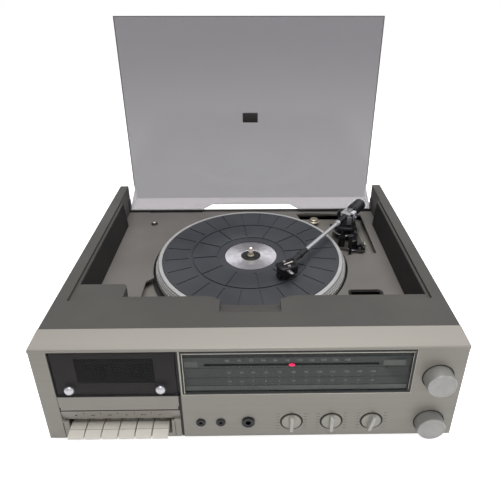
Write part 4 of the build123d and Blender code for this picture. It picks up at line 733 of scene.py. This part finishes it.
for number, x in enumerate((-59.0, -35.5)):
    centre = spot(x, 0.0, SOCKET_DROP)
    ring(f"mic_ring_{number + 1}", 3.5, 5.6, -0.2, 1.9, centre, FORWARD, GLOSS_BLACK,
         "cabinet", 0.5)
    ring(f"mic_collar_{number + 1}", 2.2, 3.3, 0.2, 1.5, centre, FORWARD, STEEL, "cabinet", 0.3)
phones_at = spot(-3.1, 0.0, SOCKET_DROP)
ring("phones_nut", 5.0, 7.9, -0.2, 2.6, phones_at, FORWARD, GLOSS_BLACK, "cabinet", 0.8)
ring("phones_collar", 3.4, 4.6, 0.2, 1.9, phones_at, FORWARD, STEEL, "cabinet", 0.3)

# ------------------------------------------------------------- front: cassette deck
WINDOW_LEFT, WINDOW_RIGHT = -220.5, -82.8
WINDOW_TOP, WINDOW_LOW = 6.9, 71.0
VIEW_LEFT, VIEW_RIGHT, VIEW_TOP, VIEW_LOW = -194.5, -107.0, 16.5, 53.0
MASK_DEPTH = 2.7
STUD_X = (-203.8, -101.4)
STUD_DROP = 59.4

mask_back = MASK_DEPTH + 0.25
mask_top, mask_low = WINDOW_TOP + 0.8, WINDOW_LOW - 0.8
bars("window_mask", [
    (spot(WINDOW_LEFT + 1, MASK_DEPTH, mask_top), spot(VIEW_LEFT, mask_back, mask_low)),
    (spot(VIEW_RIGHT, MASK_DEPTH, mask_top), spot(WINDOW_RIGHT - 1, mask_back, mask_low)),
    (spot(VIEW_LEFT, MASK_DEPTH, mask_top), spot(VIEW_RIGHT, mask_back, VIEW_TOP)),
    (spot(VIEW_LEFT, MASK_DEPTH, VIEW_LOW), spot(VIEW_RIGHT, mask_back, mask_low)),
], BROWN, "door")
bars("window_sill", [
    (spot(VIEW_LEFT, MASK_DEPTH + 0.1, VIEW_LOW - 0.7),
     spot(VIEW_RIGHT, MASK_DEPTH + 1.0, VIEW_LOW)),
    (spot(VIEW_LEFT, MASK_DEPTH + 0.1, VIEW_TOP + 6.0),
     spot(VIEW_RIGHT, MASK_DEPTH + 0.6, VIEW_TOP + 6.5)),
], BLACK, "door")

stud_steps = [(1.6, -3.0), (1.6, -0.2), (5.9, -0.15), (5.9, 1.4), (5.6, 2.6), (4.7, 3.8),
              (3.2, 4.6), (1.5, 5.0), (0.4, 5.1)]
studs = [set_on(draw_out("stud", stud_steps, 40), spot(x, 0.0, STUD_DROP), FORWARD)
         for x in STUD_X]
stud_caps = joined("stud_caps", studs, BRIGHT, "door")
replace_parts(stud_caps, "door_studs")
# A dark disc set off behind each stud: a painted shadow.
for number, x in enumerate(STUD_X):
    turned(f"stud_painted_shadow_{number + 1}", [(7.2, 0.0), (7.2, 0.25), (6.4, 0.4), (2.0, 0.42)],
           spot(x + 0.6, 0.0, STUD_DROP - 1.0), FORWARD, INK_AND_SHADE, "door", 40)

marks("window_low_line", [(WINDOW_LEFT, WINDOW_RIGHT, 70.6, 71.5)], 0.0, INK_AND_SHADE, "door", 0.06)
marks("door_low_line", [(WINDOW_LEFT, WINDOW_RIGHT, 93.4, 94.3)], 0.0, INK_AND_SHADE, "cabinet", 0.06)
bars("slit_strip", [(spot(-82.3, 0.9, 72.0), spot(-79.8, 2.4, 138.9))], INK_AND_SHADE, "cabinet", 0.1)
marks("cheek_line", [(-221.1, -220.5, 113.0, 138.0), (-90.0, -89.4, 113.0, 136.0)], 0.0, INK_AND_SHADE,
      "cabinet", 0.1)
bars("key_bay_cheeks", [
    (spot(-220.6, 0.0, 111.2), spot(-214.2, 2.6, 138.4)),
    (spot(-93.6, 0.0, 111.2), spot(-89.9, 2.6, 138.4)),
], FRONT, "cabinet", 0.2)

KEY_FIRST, KEY_PITCH, KEY_COUNT = -204.2, 19.6, 6
STRIP_TOP, STRIP_FALL, STRIP_RECESS = 95.0, 16.0, 3.5
LABEL_TILT = 12.3
LABEL_AT = 103.0
key_x = [KEY_FIRST + KEY_PITCH * number for number in range(KEY_COUNT)]


def label_face(drop):
    """Depth of the sloping label strip at a drop."""
    return STRIP_RECESS * (drop - STRIP_TOP) / STRIP_FALL


def symbol(x, sides, width, turn):
    """Flat regular symbol on the label strip."""
    clear()
    bpy.ops.mesh.primitive_circle_add(vertices=sides, radius=width / 2 * MM, fill_type="NGON")
    piece = bpy.context.active_object
    edit()
    all_of_it()
    bpy.ops.mesh.extrude_region_move(TRANSFORM_OT_translate={"value": (0.0, 0.0, 0.1 * MM)})
    outwards()
    leave()
    face_out = Matrix.Rotation(radians(90 + LABEL_TILT), 4, "X")
    at = spot(x, label_face(LABEL_AT) + 0.02, LABEL_AT)
    piece.matrix_world = (Matrix.Translation(at) @ face_out
                          @ Matrix.Rotation(radians(turn), 4, "Z"))
    return settle(piece, False)


# Record, rewind, wind on, play, stop and eject, pause: key, aside, sides, width and turn.
SYMBOLS = (
    (0, 0.0, 20, 2.8, 0.0),
    (1, -1.2, 3, 3.2, 90.0), (1, 1.2, 3, 3.2, 90.0),
    (2, -1.2, 3, 3.2, -90.0), (2, 1.2, 3, 3.2, -90.0),
    (3, 0.0, 3, 3.4, -90.0),
    (4, -1.6, 4, 3.0, 45.0), (4, 1.8, 3, 3.2, 0.0),
    (5, -0.8, 4, 1.6, 45.0), (5, 0.8, 4, 1.6, 45.0),
)
joined("key_symbols", [symbol(key_x[key] + aside, sides, width, turn)
                       for key, aside, sides, width, turn in SYMBOLS], INK_AND_SHADE, "cabinet")
marks("key_separators",
      [(x + KEY_PITCH / 2 - 0.2, x + KEY_PITCH / 2 + 0.2, 96.0, 100.0) for x in key_x[:-1]],
      0.3, INK_AND_SHADE, "cabinet", 0.1)
for number, x in enumerate(key_x):
    bars(f"key_crease_{number + 1}", [(spot(x - 9.1, -3.2, 120.55), spot(x + 9.1, -3.7, 120.9))],
         CREASE_SHADE, f"key_{number + 1}", 0.1)

# ------------------------------------------------------------- record deck
PLATTER_X, PLATTER_DEPTH = 0.2, 239.4
MAT_DROP = 33.0
PLATTER_TOP_DROP = 37.0
DECK_DROP = 46.0
CHASSIS_DROP = 58.0
GROOVE_TURN = 97.5
# Radius, drop and number of the dots in each row on the platter's rim.
STROBE_ROWS = ((142.5, 37.3, 200), (143.8, 40.6, 190), (145.1, 43.9, 180))


def platter_spot(drop):
    """Point on the platter's axis."""
    return spot(PLATTER_X, PLATTER_DEPTH, drop)


mat_top = platter_spot(MAT_DROP)


def groove_cutter(inner, outer, width, depth, count):
    """Straight radial cutters, evenly round the platter."""
    cutter = block("groove_cutter", ((inner + outer) / 2 * MM, 0.0, 0.0),
                   ((outer - inner) * MM, width * MM, 2 * depth * MM))
    turn = Matrix.Rotation(radians(GROOVE_TURN), 4, "Z")
    cutter.matrix_world = Matrix.Translation(mat_top) @ turn
    settle(cutter, False)
    around(cutter, count, mat_top)
    return cutter


mat = draw_out("mat_grooved", [(135.3, 0.0), (135.3, 3.7), (134.9, 4.0), (53.5, 4.0), (52.0, 3.4),
                               (51.6, 2.0), (40.4, 2.0), (40.2, 1.8), (40.2, 0.05)], 160)
set_on(mat, platter_spot(PLATTER_TOP_DROP))
carve(mat, groove_cutter(95.0, 131.0, 1.7, 1.1, 24))
carve(mat, groove_cutter(52.6, 88.0, 2.6, 1.3, 12))
ring_cutter = draw_out("ring_cutter", [(91.2, -1.3), (91.2, 1.0), (88.4, 1.0), (88.4, -1.2)], 160)
set_on(ring_cutter, mat_top)
carve(mat, ring_cutter)
settle(mat)
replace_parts(mat, "platter_mat")
dress(mat, MAT, "platter")

disc = turned("label_plate", [(39.9, 0.0), (39.9, 0.5), (39.6, 0.8), (15.3, 0.8), (15.0, 0.6),
                              (15.0, 0.1), (5.1, 0.1), (5.1, 0.05)],
              platter_spot(PLATTER_TOP_DROP), UP, DISC, "platter", 128)
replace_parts(disc, "label_disc")
turned("centre_well", [(15.0, 0.0), (15.0, 0.3), (14.4, 0.5), (13.8, 0.3), (6.2, 0.25),
                       (6.0, 0.9), (5.2, 0.9)],
       platter_spot(PLATTER_TOP_DROP - 0.1), UP, BLACK, "platter", 64)

for row, (radius, drop, count) in enumerate(STROBE_ROWS):
    dots = block(f"strobe_dots_{row + 1}", (radius * MM, 0.0, 0.0),
                 (0.9 * MM, 2.6 * MM, 1.9 * MM))
    edit()
    all_of_it()
    bpy.ops.mesh.bevel(offset=0.35 * MM, segments=1, affect="EDGES")
    leave()
    dots.matrix_world = Matrix.Translation(platter_spot(drop))
    settle(dots, False)
    around(dots, count, platter_spot(drop))
    dress(settle(dots), DOTS, "platter")
ring("well_shadow", 143.5, 152.0, 0.0, 0.4, platter_spot(CHASSIS_DROP - 0.1), UP, INK_AND_SHADE,
     "cabinet", 0.05)
ring("rim_shadow", 141.7, 142.0, -0.3, 0.0, platter_spot(35.3), UP, INK_AND_SHADE, "platter", 0.05)

button_at = spot(-171.1, 359.5, DECK_DROP)
turned("deck_button", [(5.6, -0.1), (5.6, 1.2), (5.1, 1.7), (4.3, 1.8), (3.9, 1.5), (3.7, 2.6),
                       (3.2, 3.4), (2.0, 3.7), (0.8, 3.75)],
       button_at, UP, BLACK, "cabinet", 40)
turned("deck_button_top", [(2.9, 3.3), (2.9, 3.9), (2.4, 4.2), (0.8, 4.3)],
       button_at, UP, CHAMPAGNE, "cabinet", 32)
transit_at = spot(114.9, 376.2, 52.0)
flange = turned("transit_flange", [(3.4, -6.0), (3.4, -0.5), (9.4, -0.4), (9.4, 1.6), (8.9, 2.1),
                                   (7.2, 2.2), (7.0, 4.6), (6.4, 5.3), (2.4, 5.6), (0.8, 5.7)],
                transit_at, UP, CHAMPAGNE, "cabinet", 40)
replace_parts(flange, "transit_screws")
ring("transit_washer", 7.1, 8.0, 2.0, 2.4, transit_at, UP, INK_AND_SHADE, "cabinet", 0.1)

# The pocket's painted shade, a dark sheet, follows its opening with a hair of air all round.
POCKET_LEFT, POCKET_RIGHT, POCKET_FRONT, POCKET_BACK = 138.0, 187.3, 105.0, 163.0
POCKET_DEEP = 14.0
AIR = 0.05
pocket_low = spot(POCKET_LEFT + AIR, POCKET_FRONT + AIR, DECK_DROP + POCKET_DEEP - AIR)
pocket_high = spot(POCKET_RIGHT - AIR, POCKET_BACK - AIR, DECK_DROP + 0.6)
pocket = block("pocket_painted_shade", (pocket_low + pocket_high) / 2, pocket_high - pocket_low)


def stands_upright(edge):
    """Whether an edge of the pocket stands upright."""
    ends = [pocket.data.vertices[index].co for index in edge.vertices]
    return abs(ends[0].z - ends[1].z) > 5 * MM


pick(pocket, "edges", stands_upright)
bpy.ops.mesh.bevel(offset=5.9 * MM, segments=5, affect="EDGES")
pick(pocket, "faces", faces_up)
bpy.ops.mesh.delete(type="FACE")
leave()
thick = pocket.modifiers.new("thick", "SOLIDIFY")
thick.thickness = 0.5 * MM
thick.offset = -1.0
bpy.ops.object.modifier_apply(modifier=thick.name)
dress(settle(pocket), SHADOW_BLACK, "cabinet")

# Painted shade: dark strips on the sloping side walls, and a dark bar as painted shadow under the
# lid's heel.
SHADE_INNER, SHADE_OUTER, SHADE_BACK, WALL_SLOPE = 216.2, 217.0, 354.0, 3.7
for label, side, start in (("left", -1, 121.0), ("right", 1, 95.0)):
    low = spot(min(side * SHADE_INNER, side * SHADE_OUTER), start, DECK_DROP - 0.3)
    high = spot(max(side * SHADE_INNER, side * SHADE_OUTER), SHADE_BACK, 3.4)
    strip = block(f"side_wall_painted_shade_{label}", (low + high) / 2, high - low)
    pick(strip, "faces", faces_up)
    bpy.ops.transform.translate(value=(side * WALL_SLOPE * MM, 0.0, 0.0))
    leave()
    dress(settle(strip, False), SHADOW_BLACK, "cabinet")
# A dark bar under the lid's heel stands for the shadow in the gap there: painted shadow.
bars("rear_gap_painted_shadow", [
    (spot(-188.0, 403.2, DECK_DROP), spot(-91.0, 404.0, DECK_DROP - 2.2)),
    (spot(91.0, 403.2, DECK_DROP), spot(224.0, 404.0, DECK_DROP - 2.2)),
], RUBBER_AND_SHADE, "cabinet", 0.2)

# ------------------------------------------------------------- tonearm
ARM_X, ARM_DEPTH, ARM_DROP = 164.7, 331.4, 15.5
ARM_TURN, HEAD_TURN = 36.5, 59.0
HEAD_REACH, NUT_REACH = 190.0, 150.0
GIMBAL_OUT = 13.9


def ways(turn):
    """Directions along and across a part of the arm, turned from straight ahead."""
    turn = radians(turn)
    return Vector((-sin(turn), -cos(turn), 0.0)), Vector((cos(turn), -sin(turn), 0.0))


ARM_WAY, ARM_SIDE = ways(ARM_TURN)
HEAD_WAY, HEAD_SIDE = ways(HEAD_TURN)
ARM_AT = spot(ARM_X, ARM_DEPTH, ARM_DROP)
HEAD_AT = ARM_AT + ARM_WAY * HEAD_REACH * MM
ARM_PLACE = (ARM_AT, ARM_WAY, ARM_SIDE)
HEAD_PLACE = (HEAD_AT, HEAD_WAY, HEAD_SIDE)


def arm_bar(name, place, size, heights, start, aside, round_off, nose, material, body):
    """Bar of a length and width between two heights, laid along a part of the arm.

    It begins at a start along the part and stands aside of its middle. Its edges are rounded
    off and its far end is narrower by the ratio of its nose.
    """
    at, way, across = place
    length, width = size
    low, high = heights
    piece = block(name, ((start + length / 2) * MM, aside * MM, (low + high) / 2 * MM),
                  (length * MM, width * MM, (high - low) * MM))
    pick(piece, "faces", lambda face: face.normal.x > 0.9)
    bpy.ops.transform.resize(value=(1.0, nose, 1.0), center_override=(0.0, aside * MM, 0.0))
    all_of_it()
    bpy.ops.mesh.bevel(offset=round_off * MM, segments=3, affect="EDGES")
    leave()
    turn = Matrix((way, across, UP)).transposed().to_4x4()
    piece.matrix_world = Matrix.Translation(at) @ turn
    return dress(settle(piece), material, body)


weight = draw_out("balance_weight", [(8.3, 17.0), (8.6, 17.4), (8.6, 20.0), (9.6, 20.6),
                                     (10.4, 21.4), (10.5, 24.0), (10.5, 38.0), (10.1, 38.6),
                                     (10.1, 39.6), (10.5, 40.2), (10.5, 50.4), (9.8, 51.6),
                                     (8.8, 52.0), (6.0, 52.0), (5.6, 51.4), (4.6, 51.3)], 96)
flute(weight, 10.3, 40.2, 50.6, 0.965)
set_on(weight, ARM_AT, -ARM_WAY)
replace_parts(weight, "counterweight")
dress(weight, BLACK_METAL, "arm")
turned("arm_collar", [(4.2, 5.5), (5.4, 6.0), (5.6, 8.0), (5.2, 20.0), (4.9, 30.0), (4.6, 32.0),
                      (3.6, 32.6)],
       ARM_AT, ARM_WAY, GLOSS_BLACK, "arm", 40)
turned("collar_band", [(4.9, 20.5), (5.5, 20.7), (5.5, 23.0), (4.9, 23.2)],
       ARM_AT, ARM_WAY, BLACK_METAL, "arm", 40)
arm_bar("pivot_block", ARM_PLACE, (9.0, 8.0), (5.2, 10.2), -9.5, 2.0, 0.5, 0.9, BRIGHT, "arm")
gimbal_at = ARM_AT + ARM_SIDE * GIMBAL_OUT * MM
turned("gimbal_plate", [(7.6, 0.0), (7.6, 1.2), (7.1, 1.7), (2.8, 1.8), (2.6, 2.5), (1.2, 2.6)],
       gimbal_at, ARM_SIDE, GIMBAL, "arm_turn")
turned("gimbal_screw", [(2.0, 2.4), (2.0, 3.0), (1.5, 3.4), (0.5, 3.4)],
       gimbal_at, ARM_SIDE, BRIGHT, "arm_turn", 24)
turned("gimbal_plate_far", [(7.6, 0.0), (7.6, 1.2), (7.1, 1.7), (2.0, 1.8)],
       ARM_AT - ARM_SIDE * GIMBAL_OUT * MM, -ARM_SIDE, BLACK_METAL, "arm_turn")
arm_bar("gimbal_cap", ARM_PLACE, (11.0, 6.5), (6.0, 9.4), -6.0, 11.0, 0.5, 1.0, SATIN,
        "arm_turn")
bars("gimbal_face", [(spot(162.4, 317.6, 12.2), spot(170.6, 319.2, 27.0))], GIMBAL,
     "arm_turn", 0.7)
ring("arm_ring", 20.3, 22.8, 0.0, 1.5, spot(ARM_X, ARM_DEPTH, 44.6), UP, BRIGHT, "cabinet", 0.4)

arm_bar("head_cover", HEAD_PLACE, (27.0, 21.0), (-0.6, 3.2), -13.0, 0.0, 0.9, 0.86,
        GLOSS_BLACK, "arm")
arm_bar("head_rib", HEAD_PLACE, (15.0, 2.0), (3.1, 4.6), -10.0, 0.0, 0.4, 0.7, TRIM, "arm")
for number, aside in enumerate((-6.35, 6.35)):
    turned(f"head_screw_{number + 1}", [(2.4, 3.1), (2.4, 4.3), (2.0, 4.8), (1.0, 4.8),
                                        (0.8, 4.3)],
           HEAD_AT + HEAD_SIDE * aside * MM, UP, BRIGHT, "arm", 28)
arm_bar("finger_lift", HEAD_PLACE, (4.4, 13.0), (0.8, 1.8), 3.0, 15.5, 0.3, 1.0, BRIGHT, "arm")
turned("head_nut", [(4.2, 0.0), (5.0, 0.3), (5.0, 6.0), (4.6, 6.6), (4.1, 6.8)],
       ARM_AT + ARM_WAY * NUT_REACH * MM, ARM_WAY, BLACK_METAL, "arm", 36)

damper_at = spot(169.0, 287.5, 54.0)
turned("lift_damper", [(7.4, 0.0), (7.4, 15.5), (6.8, 16.8), (5.4, 17.4), (4.6, 17.0),
                       (4.6, 16.2), (1.0, 16.0)],
       damper_at, UP, GLOSS_BLACK, "cabinet")
ring("damper_ring", 7.5, 9.6, 0.0, 1.6, damper_at, UP, BRIGHT, "cabinet", 0.4)
rest_post = draw_out("rest_post", [(4.6, 0.0), (4.6, 1.2), (4.0, 1.8), (2.6, 2.2), (2.2, 5.0),
                                   (2.2, 33.0), (3.6, 35.0), (3.6, 36.4)], 36)
set_on(rest_post, spot(161.5, 269.5, CHASSIS_DROP))
rest_fork = bars("rest_fork", [
    (spot(155.6, 266.2, 22.4), spot(168.4, 272.8, 19.2)),
    (spot(165.4, 266.2, 20.0), spot(168.4, 272.8, 12.2)),
], BLACK, "cabinet", 0.6)
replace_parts(joined("rest_post", [rest_post, rest_fork], BLACK, "cabinet"), "arm_rest")
bars("lever_bracket", [
    (spot(187.2, 282.0, 54.0), spot(189.4, 292.0, 44.0)),
    (spot(184.0, 290.0, 54.0), spot(189.4, 291.6, 46.5)),
], CHAMPAGNE, "cabinet", 0.3)

# ------------------------------------------------------------- lid
LID_THICK = 3.2 * MM
LID_HALF = 223.5 * MM
LID_EDGE_LOW = 136.0 * MM
PLATE_HALF, PLATE_LOW, PLATE_HIGH = 13.6 * MM, 260.5 * MM, 277.5 * MM
PROUD = 0.05 * MM

lid_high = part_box("lid")[1]
lid_top, lid_back = lid_high[2], lid_high[1]
lid_face = lid_back - LID_THICK
bars("bare_plate", [(Vector((-PLATE_HALF, lid_face - 0.15 * MM, PLATE_LOW)),
                     Vector((PLATE_HALF, lid_back + 0.6 * MM, PLATE_HIGH)))], INK_AND_SHADE, "lid", 0.2)
lid_edges = [(Vector((side * LID_HALF - 0.4 * MM, lid_face - PROUD, LID_EDGE_LOW)),
              Vector((side * LID_HALF + 0.4 * MM, lid_back + PROUD, lid_top)))
             for side in (-1, 1)]
lid_edges.append((Vector((-LID_HALF, lid_face - PROUD, lid_top - 0.9 * MM)),
                  Vector((LID_HALF, lid_back + PROUD, lid_top + PROUD))))
bars("lid_edges", lid_edges, LID_EDGE, "lid", 0.1)

# ------------------------------------------------------------- behind and below
REAR_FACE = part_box("rear_panel")[1][1]
REAR_ROWS = (22.2 * MM, 85.8 * MM)
BASE_DROP = 139.0


def screws(name, steps, places, along):
    """Screw heads at some places, all in one piece."""
    heads = [set_on(draw_out("screw", steps, 24), at, along) for at in places]
    joined(name, heads, STEEL, "cabinet")


screws("rear_screws", [(3.2, -0.3), (3.2, 0.7), (2.7, 1.4), (1.4, 1.7), (1.2, 1.2)],
       [Vector((x * MM, REAR_FACE, height)) for x in (-196.0, -66.0, 66.0, 196.0)
        for height in REAR_ROWS], BACKWARD)
screws("base_screws", [(3.4, -0.3), (3.4, 0.6), (2.9, 1.3), (1.4, 1.5), (1.2, 1.0)],
       [spot(x, depth, BASE_DROP) for x in (-150.0, 0.0, 150.0) for depth in (60.0, 380.0)], -UP)


# ------------------------------------------------------------- light, floor, backdrop
def light_panel(name, at, aim, size, power):
    """Large soft rectangular lamp aimed at a point."""
    data = bpy.data.lights.new(name, "AREA")
    data.shape = "RECTANGLE"
    data.size, data.size_y = size
    data.energy = power
    panel = bpy.data.objects.new(name, data)
    bpy.context.scene.collection.objects.link(panel)
    panel.location = at
    panel.rotation_euler = (Vector(aim) - Vector(at)).to_track_quat("-Z", "Y").to_euler()


light_panel("overhead", (0.1, -0.1, 1.7), (0.0, 0.0, 0.1), (1.8, 1.2), 25.0)
light_panel("front_fill", (0.3, -1.7, 0.8), (0.0, 0.0, 0.1), (1.2, 0.8), 2.2)
light_panel("side_fill", (1.5, -0.8, 0.7), (0.15, 0.0, 0.1), (0.9, 0.7), 3.2)
light_panel("back_top", (0.0, 0.5, 1.5), (0.0, 0.0, 0.1), (1.4, 0.8), 4.2)


def brighter_of(tree, first, second):
    """The larger of two levels."""
    either = tree.nodes.new("ShaderNodeMath")
    either.operation = "MAXIMUM"
    tree.links.new(first, either.inputs[0])
    tree.links.new(second, either.inputs[1])
    return either.outputs["Value"]


def seen_by_eye(tree, otherwise, strength):
    """Full strength for camera, mirror and glass rays, and another level for soft light."""
    rays = tree.nodes.new("ShaderNodeLightPath")
    direct = brighter_of(tree, rays.outputs["Is Camera Ray"], rays.outputs["Is Glossy Ray"])
    seen = brighter_of(tree, direct, rays.outputs["Is Transmission Ray"])
    return ranged(tree, seen, (0.0, 1.0), (otherwise, strength))


def white_surround():
    """White world to look at, and a softer grey one as light."""
    world = bpy.data.worlds.new("studio")
    bpy.context.scene.world = world
    world.use_nodes = True
    tree = world.node_tree
    backdrop = tree.nodes["Background"]
    backdrop.inputs["Color"].default_value = (1.0, 1.0, 1.0, 1.0)
    tree.links.new(seen_by_eye(tree, 0.12, 1.0), backdrop.inputs["Strength"])


def white_floor():
    """White floor that keeps the object's shadow."""
    clear()
    bpy.ops.mesh.primitive_plane_add(size=12.0, location=(0.0, 0.0, 0.0))
    floor = bpy.context.active_object
    floor.name = "floor"
    material = finish("floor_white", (0.9, 0.9, 0.9), 0.9)
    surface_of(material).inputs["Emission Color"].default_value = (1.0, 1.0, 1.0, 1.0)
    feed(material, "Emission Strength", seen_by_eye(material.node_tree, 0.0, 0.86))
    floor.data.materials.append(material)


white_surround()
white_floor()
bpy.context.scene.view_settings.view_transform = "Standard"
